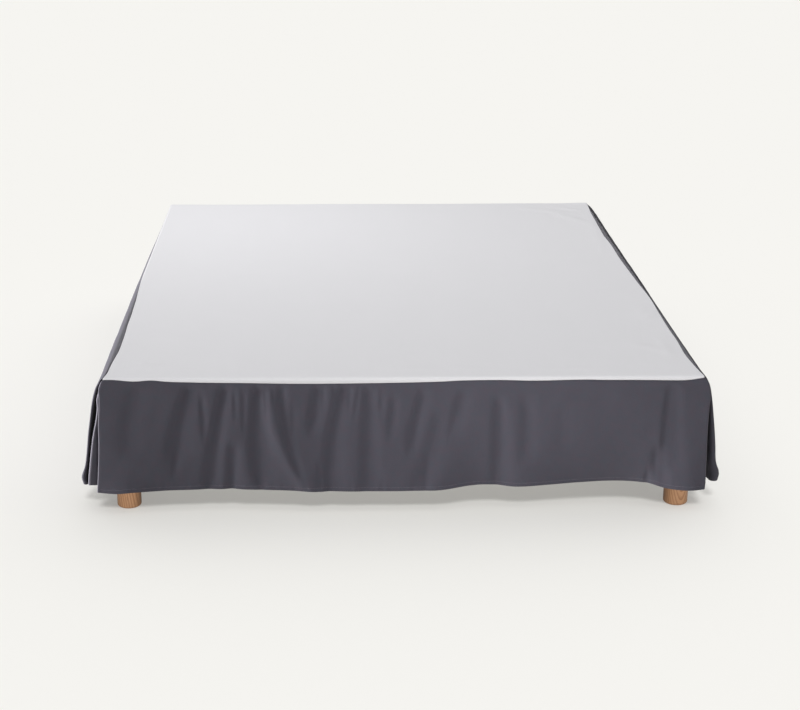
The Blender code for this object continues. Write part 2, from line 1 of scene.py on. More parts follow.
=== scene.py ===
"""Bed skirt on a bed base: its cloth, base, feet, stage and light.

The platform sheet, the foot panel, the two side panels and the two underlays are
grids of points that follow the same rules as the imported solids, sampled finely enough
for gathers, turned hems and seams. Metres, +Z up, -Y the foot end, +X the right side.
"""
import math
from collections import namedtuple

import bpy
import numpy as np
from bpy.props import FloatProperty, FloatVectorProperty, PointerProperty
from mathutils import Euler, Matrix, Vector


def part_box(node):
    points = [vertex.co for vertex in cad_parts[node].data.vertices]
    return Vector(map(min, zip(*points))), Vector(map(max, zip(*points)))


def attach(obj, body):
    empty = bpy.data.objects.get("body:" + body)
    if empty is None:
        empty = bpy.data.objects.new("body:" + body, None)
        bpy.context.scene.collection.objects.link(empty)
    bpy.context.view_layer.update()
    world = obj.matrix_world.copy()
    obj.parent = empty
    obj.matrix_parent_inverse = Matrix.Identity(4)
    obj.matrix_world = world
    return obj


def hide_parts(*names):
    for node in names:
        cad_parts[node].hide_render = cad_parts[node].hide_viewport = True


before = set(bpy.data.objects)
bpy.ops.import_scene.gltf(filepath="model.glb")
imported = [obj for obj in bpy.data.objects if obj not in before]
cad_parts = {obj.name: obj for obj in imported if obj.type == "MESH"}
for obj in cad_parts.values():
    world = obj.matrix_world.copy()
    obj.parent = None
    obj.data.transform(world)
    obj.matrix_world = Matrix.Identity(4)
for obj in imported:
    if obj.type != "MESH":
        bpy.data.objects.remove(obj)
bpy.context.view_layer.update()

bl_info = {
    "name": "Bed skirt",
    "version": (1, 0, 0),
    "blender": (4, 5, 0),
    "location": "3D View > Sidebar > Bed skirt",
    "description": "Makes a bed skirt on a bed base, with a plain stage",
    "category": "Add Mesh",
}

# --------------------------------------------------------------- fixed geometry
LENGTH = 2.000          # over the cloth, foot end to head end
WIDTH = 1.600           # over the cloth, side to side, at the top edge
TOP = 0.385             # floor to the face of the platform sheet
HEM = 0.062             # floor to the hem of the underlays
ROLL = 0.009            # outer radius of the cloth where it turns over the edge
RETURN = 0.070          # cloth folded back behind a corner edge
RETURN_TOP = 0.020      # drop at which the returns and the underlay start
TIGHT_FOLD = 0.0028     # outer radius of the foot panel's pressed corner fold
LAYER = 0.0020          # from one layer's face to the next face behind it
CREASE = 0.004          # rounding of the underlay's corner crease
HOLLOW = 0.804          # from the middle to where the underlay lies back fully
HOLLOW_WIDE = 0.016     # width over which it goes back
DIP = 0.012             # how much deeper it lies there than at its crease
DIP_WIDE = 0.011        # from the foot panel's edge to where it is flat again
DIP_STEEP = 0.6         # most depth of the dip for its width
SIDE_DRAPE = 0.010      # how far the side panels stand out at the hem
SWELL_DROP = 0.012      # drop over which they swell out below their seams
CORNER_FLARE = 0.120    # length over which the corner flare dies away
CORNER_FROM = 0.66      # from the middle to where the corner's layers begin
CORNER_FULL = 0.72      # and to where all three hang
FOLD_ROOM = 0.0095      # deepest that folds may lie towards the base
CORNER_ROOM = 0.0038    # the same where three layers hang
MARGIN = 0.030          # width of the platform sheet's strips that turn over its edges
SHADE_REACH = 0.033       # from a foot's middle to its inner side, where its painted shade is darkest
FLAT_X = WIDTH / 2 - MARGIN
FLAT_Y = LENGTH / 2 - MARGIN
STRIP_STEPS = 16        # rows of points in each of those strips
SHEET_PITCH = 0.0107    # from point to point of the platform sheet
HEAD_EDGE = 0.016       # width of its finer strip at the head end
SAG = 0.0006            # how far its edge sinks there, more and less in waves
SAG_WAVES = 9.0
HEAD_LIFT = 0.0030      # how much higher that edge is at the right corner
SWELL_RISE = 0.004      # below the foot panel's seam: where its swell has grown,
SWELL_FALL = 0.050      # and where it dies away
PUCKER_HALF = 0.011     # from the stitches to where the puckers beside them end
DENT = 0.0004           # how far the stitches pull the cloth in
DENT_HALF = 0.0013      # and how far from them
SMOOTH_TOP = 0.04       # below a seam: where the cloth's unevenness is full
RINGS_A_METRE = 143.0   # growth rings of the oak
LEFT, RIGHT = -1, 1
SIDES = ((LEFT, "left"), (RIGHT, "right"))

# Unevenness of the cloth: seed, height, shortest and longest wave. Each side panel
# has its own seed.
PLATFORM_UNEVEN = (3, 0.00018, 0.10, 0.45)
FOOT_UNEVEN = (11, 0.00035, 0.05, 0.22)
PUCKERS = (12, 0.00022, 0.011, 0.030)
SIDE_UNEVEN = (0.0004, 0.06, 0.25)

# ---------------------------------------------------------------------- tables
Seam = namedtuple("Seam", "place amount")
Hem = namedtuple("Hem", "place height inward", defaults=(0,))
Corner = namedtuple("Corner", "drop panel crease crease_back fold fold_back soft")
Fold = namedtuple("Fold", "top middle hem first last depth steep soft spread")
Wave = namedtuple("Wave", "x y length turn width height")
BARE = ("first", "last", "spread", "turn")      # shares, and degrees


def table(kind, *rows):
    """Named rows. They are given in millimetres and kept in metres."""
    return [kind(*(value if name in BARE else value / 1000
                   for name, value in zip(kind._fields, row))) for row in rows]


# Drop of the seam below the top, across the foot end.
FOOT_SEAM = table(
    Seam,
    (-800, 3), (-770, 3), (-715, 7.3), (-667, 4.8), (-625, 8.5), (-543, 11.6),
    (-418, 13.5), (-285, 16), (-141, 15.8), (10, 14), (102, 11.7), (150, 8.8),
    (255, 7.9), (347, 10.3), (471, 7.7), (532, 9), (614, 9.5), (696, 11.1), (746, 11),
    (780, 6.4), (800, 3.5))

# How far the foot panel swells out over its seam allowance.
FOOT_SWELL = table(
    Seam,
    (-800, 0), (-300, 0.3), (80, 0.7), (180, 2.2), (700, 2.4), (770, 0.6), (800, 0))

# Distance of the seam in from the side, from the foot end to the head end.
SIDE_SEAM = {
    LEFT: table(
        Seam,
        (0, 3.5), (50, 11), (120, 13), (240, 19.2), (335, 19), (405, 18), (470, 16),
        (560, 15.5), (645, 13.7), (730, 11.7), (815, 8.2), (900, 5), (1000, 2),
        (1120, 1.5), (1350, 1.5), (2000, 1)),
    RIGHT: table(
        Seam,
        (0, 3.5), (45, 9.5), (125, 15.5), (190, 18), (300, 14.5), (380, 15),
        (460, 14.5), (550, 12.8), (730, 9), (880, 13.8), (1050, 17.2), (1210, 19.5),
        (1380, 17.8), (1490, 21.5), (1600, 19), (1730, 15.5), (1850, 12), (2000, 2)),
}

# How far a side panel swells out just below its seam.
SIDE_SWELL = {
    LEFT: table(
        Seam,
        (0, 7), (300, 8), (700, 7.6), (1000, 8), (1300, 7), (1700, 2.5), (2000, 0)),
    RIGHT: table(
        Seam,
        (0, -2.5), (100, -5), (300, -4.2), (500, -1), (700, 1.5), (850, 4.8),
        (1300, 6.6), (1600, 8), (1800, 11), (2000, 10.5)),
}

# The hem across the foot end: its height, and how far it swings in under the base.
FOOT_HEM = table(
    Hem,
    (-822, 61.6, -2), (-755, 57.8, -8), (-706, 61.3, -5), (-627, 62.6, 4.5),
    (-481, 63.4, 9), (-335, 62.4, 2), (-195, 60, -3), (48, 60.4, -3), (105, 62, -2),
    (182, 67.1, 17), (221, 68.4, 20), (293, 65, 11.5), (337, 65.6, 12), (466, 69.6, 27),
    (574, 71.4, 35), (657, 69, 25), (698, 61, 9), (765, 59.2, -8.5), (817, 61.7, -4))

# The side panels' hems, from the foot end to the head end.
SIDE_HEM = {
    LEFT: table(
        Hem,
        (0, 61.7), (250, 60.7), (520, 64.2), (860, 60.2), (1180, 62.7), (1540, 59.2),
        (1820, 62.2), (2000, 60.7)),
    RIGHT: table(
        Hem,
        (0, 61.7), (310, 63.2), (640, 59.7), (990, 63.7), (1330, 60.7), (1700, 63.2),
        (2000, 60.2)),
}

# The open pleats. For each drop below the top: how far the foot panel's edge, the
# underlay's crease and the side panel's fold stand out past the side, how far the
# last two lie behind the foot panel, and the radius of the side panel's fold.
CORNERS = {
    LEFT: table(
        Corner,
        (3, -2.5, -6, 7.5, 3, 9, 3.3),
        (10, 1, -5, 7.5, 6.8, 8.5, 3.3),
        (30, 7.8, 6, 8.5, 17.2, 10, 3.3),
        (60, 8.3, 15.5, 10.5, 26.3, 15, 3.1),
        (90, 10, 16.5, 13.5, 32.8, 20, 2.8),
        (125, 13.2, 22.7, 18, 38.8, 26, 2.6),
        (170, 14.2, 33.3, 28, 46.6, 33, 2.6),
        (215, 16.3, 41.3, 34, 52.9, 39, 2.8),
        (265, 20, 48.7, 39, 61.4, 44, 3.2),
        (300, 23.2, 53.7, 43, 73.2, 49, 6),
        (322, 25, 55.5, 44.5, 70, 50, 7)),
    RIGHT: table(
        Corner,
        (3, -2.5, -6, 7.5, 0, 9, 3.3),
        (10, 3, -5, 7.5, 4, 8, 3.3),
        (30, 10.8, 2, 8.5, 13.8, 10, 3.4),
        (60, 14.8, 8, 11, 21.8, 15, 3.6),
        (90, 14.2, 11, 15, 28.1, 20, 4.4),
        (125, 13.8, 13, 23, 34.8, 26, 5.8),
        (170, 14.3, 16, 32, 43, 33, 7.8),
        (215, 15.9, 18.5, 40, 50.1, 39, 9.6),
        (265, 17.1, 21.5, 48, 56.7, 44, 11.2),
        (300, 18.2, 23.5, 54, 69.5, 49, 13.5),
        (322, 17.4, 22.5, 56, 66.8, 50, 12.5)),
}

# The foot panel's folds. Each runs through three places across the panel, at the
# seam, half-way down and at the hem, between two shares of the drop; steep and soft
# are the widths of its left and right walls, and spread is how much wider it gets.
FOOT_FOLDS = table(
    Fold,
    (-712, -748, -735, 0, 0.75, 3.5, 20, 28, 1.2),
    (-571, -622, -642, 0, 0.8, 8, 12, 30, 1.8),
    (-480, -514, -540, 0, 1.1, 9, 10, 18, 1.6),
    (-392, -408, -394, 0, 1.05, 10, 10, 26, 1.8),
    (-460, -465, -476, 0.55, 1.2, 6, 8, 10, 2.2),
    (-385, -352, -270, 0.05, 1.2, -6, 18, 22, 1.6),
    (-331, -322, -262, 0, 0.98, 6, 9, 14, 1.3),
    (-236, -258, -270, 0, 0.55, 8, 10, 18, 1.4),
    (-163, -203, -208, 0, 1.1, 9, 10, 22, 1.7),
    (-105, -108, -111, 0.02, 1.1, 7, 10, 18, 2),
    (-29, -44, -55, 0.12, 0.62, 4, 10, 14, 1.4),
    (56, 13, 10, 0.07, 0.74, 6, 10, 20, 1.3),
    (85, 70, 20, 0.28, 1.1, 5, 18, 25, 1.5),
    (155, 118, 100, 0.07, 0.62, 4.5, 11, 22, 1.4),
    (238, 245, 243, 0.14, 1.2, 6, 10, 13, 2.6),
    (310, 316, 308, 0.14, 0.84, 4, 14, 20, 1.5),
    (702, 706, 722, 0, 0.92, 5, 14, 18, 1.6),
    (671, 673, 676, 0.6, 1.02, 5.5, 11, 14, 1.3))

# Short creases and gathers, mostly just below the seam.
FOOT_GATHERS = table(
    Fold,
    (-578, -606, -632, 0, 0.95, 3.4, 6, 10, 1.5),
    (-543, -539, -535, 0.1, 0.62, 3, 6, 10, 1.5),
    (-485, -509, -530, 0, 1.1, 3.2, 6, 10, 1.5),
    (-464, -466, -468, 0.72, 1.15, 2.8, 5, 8, 1.3),
    (-397, -402, -389, 0, 1.1, 3.4, 6, 10, 1.5),
    (-453, -453, -453, 0.06, 0.42, 2, 5, 8, 1.4),
    (-431, -431, -431, 0.06, 0.56, 2.2, 6, 9, 1.5),
    (-373, -366, -360, 0.04, 0.46, 2, 5, 8, 1.4),
    (-350, -350, -350, 0.02, 0.3, 1.8, 5, 7, 1.3),
    (-300, -301, -306, 0.2, 0.62, 2, 6, 10, 1.4),
    (-218, -220, -222, 0, 0.34, 2, 5, 7, 1.4),
    (-189, -190, -192, 0, 0.34, 1.8, 5, 7, 1.4),
    (-232, -232, -232, 0.7, 1.1, 2.2, 7, 10, 1.3),
    (-168, -197, -206, 0, 1.1, 3.2, 6, 10, 1.5),
    (-149, -150, -152, 0, 0.34, 1.8, 5, 7, 1.4),
    (-120, -142, -150, 0.02, 0.42, 1.8, 5, 8, 1.4),
    (-64, -66, -68, 0.06, 0.42, 1.6, 6, 9, 1.4),
    (42, 19, 14, 0.05, 0.7, 2.2, 6, 10, 1.4),
    (59, 59, 52, 0.62, 1.1, 2.6, 8, 10, 1.3),
    (236, 240, 248, 0.25, 1.15, 3.2, 8, 12, 1.6),
    (412, 412, 412, 0.2, 0.8, 1.2, 14, 20, 1.5),
    (660, 660, 658, 0.84, 1.12, 3.6, 5, 8, 1.2),
    (701, 693, 699, 0.1, 1.1, 3, 7, 11, 1.4))

# The side panels' folds, placed from the foot end.
SIDE_FOLDS = {
    LEFT: table(
        Fold,
        (270, 262, 250, 0, 1.2, 8, 22, 30, 1.7),
        (395, 415, 430, 0, 0.9, 7, 18, 26, 1.6),
        (560, 575, 590, 0, 1.2, 9, 20, 34, 1.8),
        (700, 690, 680, 0.1, 1.2, -6, 30, 34, 1.5),
        (815, 800, 790, 0, 1.2, 8, 18, 28, 1.9),
        (985, 1000, 1020, 0, 0.8, 7, 20, 30, 1.5),
        (1160, 1150, 1150, 0, 1.2, 9, 22, 34, 1.8),
        (1330, 1345, 1350, 0.2, 1.2, -6, 32, 40, 1.4),
        (1470, 1480, 1500, 0, 1.2, 8, 20, 32, 1.7),
        (1640, 1630, 1620, 0, 0.85, 7, 20, 28, 1.6),
        (1820, 1825, 1840, 0, 1.2, 8, 22, 34, 1.8)),
    RIGHT: table(
        Fold,
        (300, 290, 285, 0, 1.2, 8, 24, 30, 1.7),
        (440, 450, 470, 0, 1.2, 8, 20, 30, 1.7),
        (620, 600, 590, 0.1, 1.2, -6, 30, 36, 1.5),
        (730, 740, 745, 0, 0.85, 7, 18, 28, 1.6),
        (900, 915, 930, 0, 1.2, 9, 22, 34, 1.8),
        (1110, 1100, 1080, 0, 1.2, 8, 20, 32, 1.7),
        (1270, 1280, 1300, 0, 0.8, 7, 20, 30, 1.5),
        (1450, 1440, 1430, 0, 1.2, 9, 22, 34, 1.9),
        (1600, 1610, 1620, 0.15, 1.2, -5, 32, 36, 1.5),
        (1760, 1750, 1745, 0, 1.2, 8, 20, 30, 1.8),
        (1900, 1905, 1910, 0, 0.9, 6, 18, 26, 1.5)),
}

# Soft waves in the platform sheet: middle, length, turn from across in degrees,
# width and height.
TOP_WAVES = table(
    Wave,
    (-720, -860, 160, 35, 14, 1), (-690, -900, 120, 20, 10, 0.7),
    (735, -420, 100, 70, 11, 0.8), (700, -760, 120, -40, 18, 1),
    (620, 880, 200, -25, 20, 1.2), (700, 760, 260, -60, 22, 1.4),
    (50, -930, 100, 5, 12, 0.6), (180, -925, 120, -4, 12, 0.6),
    (480, -930, 240, 3, 13, 0.7), (-300, -940, 180, 4, 16, 0.6),
    (760, -451, 90, 52, 12, 2), (741, -750, 160, 90, 12, 0.8),
    (757, 515, 550, 85, 13, 0.9), (714, 903, 80, -30, 12, 2))


# ----------------------------------------------------------------- small maths
def mix(start, stop, share):
    return start + (stop - start) * share


def ease(start, stop, place):
    """0 before start, 1 after stop, and smooth between them."""
    share = np.clip((place - start) / (stop - start), 0.0, 1.0)
    return share * share * (3 - 2 * share)


def read(rows, place):
    """A table's columns at places along its first one, on a smooth curve."""
    data = np.array(rows)
    last = len(data) - 1
    place = np.clip(place, data[0, 0], data[-1, 0])
    i = np.clip(np.searchsorted(data[:, 0], place, side="right") - 1, 0, last - 1)
    before, start = data[np.maximum(i - 1, 0)], data[i]
    stop, after = data[i + 1], data[np.minimum(i + 2, last)]
    step = (stop - start)[..., :1]
    t = (place[..., None] - start[..., :1]) / step
    leaving = (stop - before) / (stop - before)[..., :1] * step
    arriving = (after - start) / (after - start)[..., :1] * step
    bend = (2 * start - 2 * stop + leaving + arriving) * t ** 3
    bow = (3 * stop - 3 * start - 2 * leaving - arriving) * t ** 2
    values = start + leaving * t + bow + bend
    return type(rows[0])(*np.moveaxis(values, -1, 0))


def stations(*marks):
    """Places from mark to mark: each mark is a place and the pitch from it on."""
    places = []
    for (start, pitch), (stop, _) in zip(marks, marks[1:]):
        count = max(round((stop - start) / pitch), 1)
        places.append(np.linspace(start, stop, count + 1)[:-1])
    return np.concatenate(places + [np.array([marks[-1][0]])])


def ripple(u, v, seed, height, shortest, longest):
    """Smooth unevenness of a cloth: a few seeded waves that cross it at all angles."""
    draw = np.random.default_rng(seed)
    total = 0.0
    for _ in range(14):
        turn = draw.uniform(0, math.pi)
        wavelength = draw.uniform(shortest, longest)
        phase = draw.uniform(0, 2 * math.pi)
        along = u * math.cos(turn) + v * math.sin(turn)
        total = total + np.sin(2 * math.pi * along / wavelength + phase)
    return height * total / math.sqrt(14)


# -------------------------------------------------------- the cloth's surfaces
def over_edge(run):
    """(past the edge, drop) of cloth that turns over it; run starts at the turn."""
    angle = np.clip(run / ROLL, 0.0, math.pi / 2)
    past = ROLL * (np.sin(angle) - 1) + np.minimum(run, 0.0)
    drop = ROLL * (1 - np.cos(angle)) + np.maximum(run - ROLL * math.pi / 2, 0.0)
    return past, drop


def run_at_drop(drop):
    turned = ROLL * np.arccos(1 - np.minimum(drop / ROLL, 1.0))
    return turned + np.maximum(drop - ROLL, 0.0)


def run_at_inset(inset):
    turned = ROLL * np.arcsin(1 - np.minimum(inset / ROLL, 1.0))
    return turned - np.maximum(inset - ROLL, 0.0)


def folds_in(folds, place, share, room):
    """How far in the cloth lies for its folds, at a share of its drop."""
    total = 0.0
    at_seam = ease(0.0, 0.10, share)
    for fold in folds:
        line = (fold.top * (1 - share) * (1 - 2 * share)
                + fold.middle * 4 * share * (1 - share)
                + fold.hem * share * (2 * share - 1))
        wider = mix(1, fold.spread, share)
        off = (place - line) / wider - 0.7 * fold.steep
        width = np.where(off < 0, fold.steep, fold.soft)
        fade_in = at_seam * ease(fold.first - 0.04, fold.first + 0.12, share)
        fade_out = 1 - ease(fold.last - 0.25, fold.last, share)
        depth = fold.depth * fade_in * fade_out
        total = total + depth * np.exp(-(off / width) ** 2)
    return room * np.tanh(total / room)


def hem_drop(row):
    return TOP - row.height


def foot_across(across, drop):
    """X of a place on the foot panel, which spreads a little towards its hem."""
    left = -read(CORNERS[LEFT], drop).panel
    right = read(CORNERS[RIGHT], drop).panel
    return across + mix(left, right, across / WIDTH + 0.5)


def foot_face(x, drop):
    """Y of the foot panel's face."""
    hem = read(FOOT_HEM, x)
    share = np.clip((drop - ROLL) / (hem_drop(hem) - ROLL), 0.0, 1.0)
    corner = ease(CORNER_FROM, CORNER_FULL, np.abs(x))
    room = mix(FOLD_ROOM, CORNER_ROOM, corner)
    folds = folds_in(FOOT_FOLDS + FOOT_GATHERS, x, share, room)
    rolled = ROLL - np.sqrt(ROLL ** 2 - np.maximum(ROLL - drop, 0.0) ** 2)
    return -LENGTH / 2 + rolled + hem.inward * share ** 3 + folds


def side_out(side, place, drop):
    """How far a side panel's face stands out past the edge of the top."""
    hem = read(SIDE_HEM[side], place)
    share = np.clip((drop - ROLL) / (hem_drop(hem) - ROLL), 0.0, 1.0)
    corner = read(CORNERS[side], drop)
    behind = np.maximum(place - corner.fold_back, 0.0) / CORNER_FLARE
    flare = np.exp(-behind ** 2) * ease(ROLL / 4, ROLL, drop)
    _, seam = over_edge(run_at_inset(read(SIDE_SEAM[side], place).amount))
    swell = read(SIDE_SWELL[side], place).amount * ease(seam, seam + SWELL_DROP, drop)
    drape = mix(swell, SIDE_DRAPE, share)
    folds = folds_in(SIDE_FOLDS[side], place, share, FOLD_ROOM) * (1 - flare)
    return drape + (corner.fold - drape) * flare - folds


def corner_place(side, station, drop):
    """A station moved back with the corner fold, which slants away from the foot."""
    corner = read(CORNERS[side], drop)
    return station + (corner.fold_back + corner.soft) * (1 - ease(0.0, 0.30, station))


# ------------------------------------------------------------- grids of points
# Rows of points below the start of a panel, and above its hem.
SEAM_STEPS = np.array([0.0, 0.0010, 0.0022, 0.0036, 0.0053, 0.0075, 0.0100, 0.0130,
                       0.0165, 0.0205, 0.0250])
HEM_STEPS = np.array([0.0190, 0.0150, 0.0124, 0.0110, 0.0100, 0.0090, 0.0076, 0.0055,
                      0.0035, 0.0018, 0.0006])
FOOT_ROWS, SIDE_ROWS, UNDERLAY_ROWS = 38, 34, 30    # between those two
STITCH_ROW = -7         # the row of HEM_STEPS that the stitching runs along
ALLOWANCE = 0.0025      # cloth that runs on inwards behind a seam
TURN_STEPS = 5          # lines of points round a turned edge
HEM_TURN_STEPS = 7      # and round a hem


def rows_between(start, stop, middle):
    """Runs of every column's rows: close together at the seam and the hem."""
    upper = start[:, None] + SEAM_STEPS
    lower = stop[:, None] - HEM_STEPS
    share = np.linspace(0.0, 1.0, middle + 2)[1:-1]
    between = mix(upper[:, -1:], lower[:, :1], share)
    return np.hstack([upper, between, lower])


def unit(vectors):
    return vectors / np.linalg.norm(vectors, axis=-1, keepdims=True)


def faces_out(grid):
    """Outward directions of a grid of points, in columns of rows."""
    return unit(np.cross(np.gradient(grid, axis=1), np.gradient(grid, axis=0)))


def turn_in(line, ahead, inward, radius, angle, beyond, steps=TURN_STEPS):
    """Lines of points that carry an edge round a small turn and then straight on."""
    lines = []
    for i in range(1, steps + 1):
        a = angle * i / steps
        lines.append(line + radius * (math.sin(a) * ahead + (1 - math.cos(a)) * inward))
    on = math.cos(angle) * ahead + math.sin(angle) * inward
    return lines + [lines[-1] + far * on for far in beyond]


def with_turns(grid, radius, hem_depth):
    """A panel's grid with its seam allowance before it and its hem turned up behind."""
    inward = -faces_out(grid)
    up, down = unit(grid[:, 0] - grid[:, 1]), unit(grid[:, -1] - grid[:, -2])
    allowance = turn_in(grid[:, 0], up, inward[:, 0], radius, math.pi / 2, (ALLOWANCE,))
    depths = np.array((0.25, 0.55, 0.85, 1.0)) * hem_depth
    hem = turn_in(grid[:, -1], down, inward[:, -1], radius, math.pi, depths,
                  HEM_TURN_STEPS)
    return np.stack(allowance[::-1] + list(np.moveaxis(grid, 1, 0)) + hem, axis=1)


def lengths(grid):
    """Flat place of every point: along the cloth at mid height, and down it."""
    middle = grid[:, grid.shape[1] // 2]
    across = np.linalg.norm(np.diff(middle, axis=0), axis=1)
    across = np.concatenate([[0.0], np.cumsum(across)])
    down = np.linalg.norm(np.diff(grid, axis=1), axis=2)
    down = np.hstack([np.zeros((len(grid), 1)), np.cumsum(down, axis=1)])
    return np.stack([np.broadcast_to(across[:, None], down.shape), down], axis=2)


# ----------------------------------------------------------------- object tools
# A stitch's rings: place along it and depth in the cloth, in shares of its pitch and
# of its thread's radius, and size.
THREAD_RINGS = ((-0.40, 0.30, 0.5), (-0.28, -0.25, 1.0), (0.0, -0.55, 1.0),
                (0.28, -0.25, 1.0), (0.40, 0.30, 0.5))


def apply_modifiers(made):
    bpy.ops.object.select_all(action="DESELECT")
    made.select_set(True)
    bpy.context.view_layer.objects.active = made
    for modifier in list(made.modifiers):
        bpy.ops.object.modifier_apply(modifier=modifier.name)


def finish_smooth(made, angle, finish):
    """Smooth shading below an angle in degrees, and a finish."""
    bpy.ops.object.shade_smooth_by_angle(angle=math.radians(angle))
    made.data.materials.clear()
    made.data.materials.append(finish_named(finish))


def smooth_piece(name, mesh, finish):
    """An object of a mesh that is smooth all over."""
    mesh.shade_smooth()
    mesh.materials.append(finish_named(finish))
    made = bpy.data.objects.new(name, mesh)
    bpy.context.scene.collection.objects.link(made)
    return made


def cloth(name, grid, finish, thickness, fold_highlight=None):
    """A sheet of cloth through a grid of points, its map in metres of flat cloth.

    The last argument gives how much each of its columns is made paler along a pressed
    fold: a painted highlight where the fold's edge catches the light.
    """
    count, rows = grid.shape[:2]
    index = np.arange(count * rows).reshape(count, rows)
    corners = (index[:-1, :-1], index[:-1, 1:], index[1:, 1:], index[1:, :-1])
    faces = np.stack(corners, axis=-1).reshape(-1, 4)
    mesh = bpy.data.meshes.new(name)
    mesh.from_pydata(grid.reshape(-1, 3).tolist(), [], faces.tolist())
    corner_points = np.empty(len(mesh.loops), dtype=np.int32)
    mesh.loops.foreach_get("vertex_index", corner_points)
    flat = lengths(grid).reshape(-1, 2)[corner_points]
    mesh.uv_layers.new(name="cloth").data.foreach_set("uv", flat.ravel())
    if fold_highlight is not None:
        # Painted highlight along pressed folds, as a share at each point.
        painted_highlight = mesh.attributes.new("fold_highlight", "FLOAT", "POINT")
        painted_highlight.data.foreach_set("value", np.repeat(fold_highlight, rows))
    made = smooth_piece(name, mesh, finish)
    solid = made.modifiers.new("cloth thickness", "SOLIDIFY")
    solid.thickness = thickness
    solid.offset = -1
    solid.use_even_offset = False
    apply_modifiers(made)
    return made


def stitches(name, line, out, settings):
    """A row of short threads along a line of points, each sunk in at its ends."""
    pitch, radius = settings.stitch_pitch, settings.thread_radius
    steps = np.linalg.norm(np.diff(line, axis=0), axis=1)
    along = np.concatenate([[0.0], np.cumsum(steps)])
    sides = 6
    circle = 2 * math.pi * np.arange(sides) / sides
    points, faces = [], []

    def at(rows, place):
        return np.array([np.interp(place, along, rows[:, k]) for k in range(3)])

    for centre in np.arange(pitch, along[-1] - pitch, pitch):
        first = len(points)
        for shift, sink, size in THREAD_RINGS:
            where = centre + shift * pitch
            place, normal = at(line, where), unit(at(out, where))
            sideways = unit(np.cross(normal, at(line, where + 0.001) - place))
            for a in circle:
                points.append(place + radius * size * (
                    math.cos(a) * sideways + (math.sin(a) - sink) * normal))
        for here in range(first, len(points) - sides, sides):
            for k in range(sides):
                after = (k + 1) % sides
                faces.append((here + k, here + sides + k, here + sides + after,
                              here + after))
        faces.append(tuple(range(first, first + sides)))
        faces.append(tuple(reversed(range(len(points) - sides, len(points)))))
    mesh = bpy.data.meshes.new(name)
    mesh.from_pydata([tuple(p) for p in points], [], faces)
    return smooth_piece(name, mesh, "sewing thread")


# -------------------------------------------------------------------- materials
class Value:
    """A node's output that takes part in sums."""

    def __init__(self, finish, socket):
        self.finish, self.socket = finish, socket

    def __add__(self, other):
        return self.finish.maths("ADD", self, other)

    def __sub__(self, other):
        return self.finish.maths("SUBTRACT", self, other)

    def __rsub__(self, other):
        return self.finish.maths("SUBTRACT", other, self)

    def __mul__(self, other):
        return self.finish.maths("MULTIPLY", self, other)

    __radd__, __rmul__ = __add__, __mul__


class Finish:
    """A material being made."""

    def __init__(self, name):
        self.material = bpy.data.materials.new(name)
        self.material.use_nodes = True
        self.tree = self.material.node_tree
        self.shader = self.tree.nodes["Principled BSDF"]

    def feed(self, socket, value):
        if isinstance(value, Value):
            self.tree.links.new(value.socket, socket)
        elif hasattr(value, "__len__") and len(value) == 3 and socket.type == "RGBA":
            socket.default_value = (*value, 1.0)
        else:
            socket.default_value = value

    def node(self, kind, settings, sockets, output=0):
        """Any node: its settings first, then the values or links of its sockets."""
        made = self.tree.nodes.new(kind)
        for name, value in settings.items():
            setattr(made, name, value)
        for key, value in sockets.items():
            self.feed(made.inputs[key], value)
        return Value(self, made.outputs[output])

    def maths(self, operation, *values):
        return self.node("ShaderNodeMath", {"operation": operation},
                         dict(enumerate(values)))

    def blend(self, share, first, second):
        """One colour going over to another."""
        return self.node("ShaderNodeMix", {"data_type": "RGBA"},
                         {0: share, 6: first, 7: second}, 2)

    def rise(self, value, low, high, way="LINEAR"):
        """0 up to low, and 1 from high on."""
        return self.node("ShaderNodeMapRange", {"interpolation_type": way},
                         {0: value, 1: low, 2: high})

    def noise(self, vector, scale, detail=2.0, roughness=0.5):
        return self.node("ShaderNodeTexNoise", {},
                         {"Vector": vector, "Scale": scale, "Detail": detail,
                          "Roughness": roughness})

    def fibres(self, vector, scale, detail=1.0):
        """Noise drawn out along the axes that have the smaller scales."""
        drawn = self.node("ShaderNodeVectorMath", {"operation": "MULTIPLY"},
                          {0: vector, 1: scale})
        return self.noise(drawn, 1.0, detail)

    def attribute(self, name, output):
        return self.node("ShaderNodeAttribute", {"attribute_name": name}, {}, output)

    def x_and_y(self, vector):
        return [self.node("ShaderNodeSeparateXYZ", {}, {0: vector}, k) for k in (0, 1)]

    def sockets(self, relief=None, **values):
        """Values or links of the shader's own sockets, named with underscores."""
        if relief:
            values["Normal"] = self.node("ShaderNodeBump", {},
                                         {"Height": relief, "Distance": 1.0})
        for name, value in values.items():
            self.feed(self.shader.inputs[name.replace("_", " ")], value)
        return self.material


def scaled(shade, share):
    return [channel * share for channel in shade]


def woven(finish, place, pitch):
    """(height, lengthwise on top) of a plain weave on flat places in metres."""
    waves = [finish.maths("SINE", part * (math.pi / pitch))
             for part in finish.x_and_y(place)]
    over = waves[0] * waves[1]
    rounds = [finish.maths("ABSOLUTE", wave) for wave in waves]
    lengthwise = rounds[0] * (over * 0.5 + 0.5)
    crosswise = rounds[1] * (0.5 - over * 0.5)
    return (finish.maths("MAXIMUM", lengthwise, crosswise),
            finish.maths("GREATER_THAN", lengthwise, crosswise))


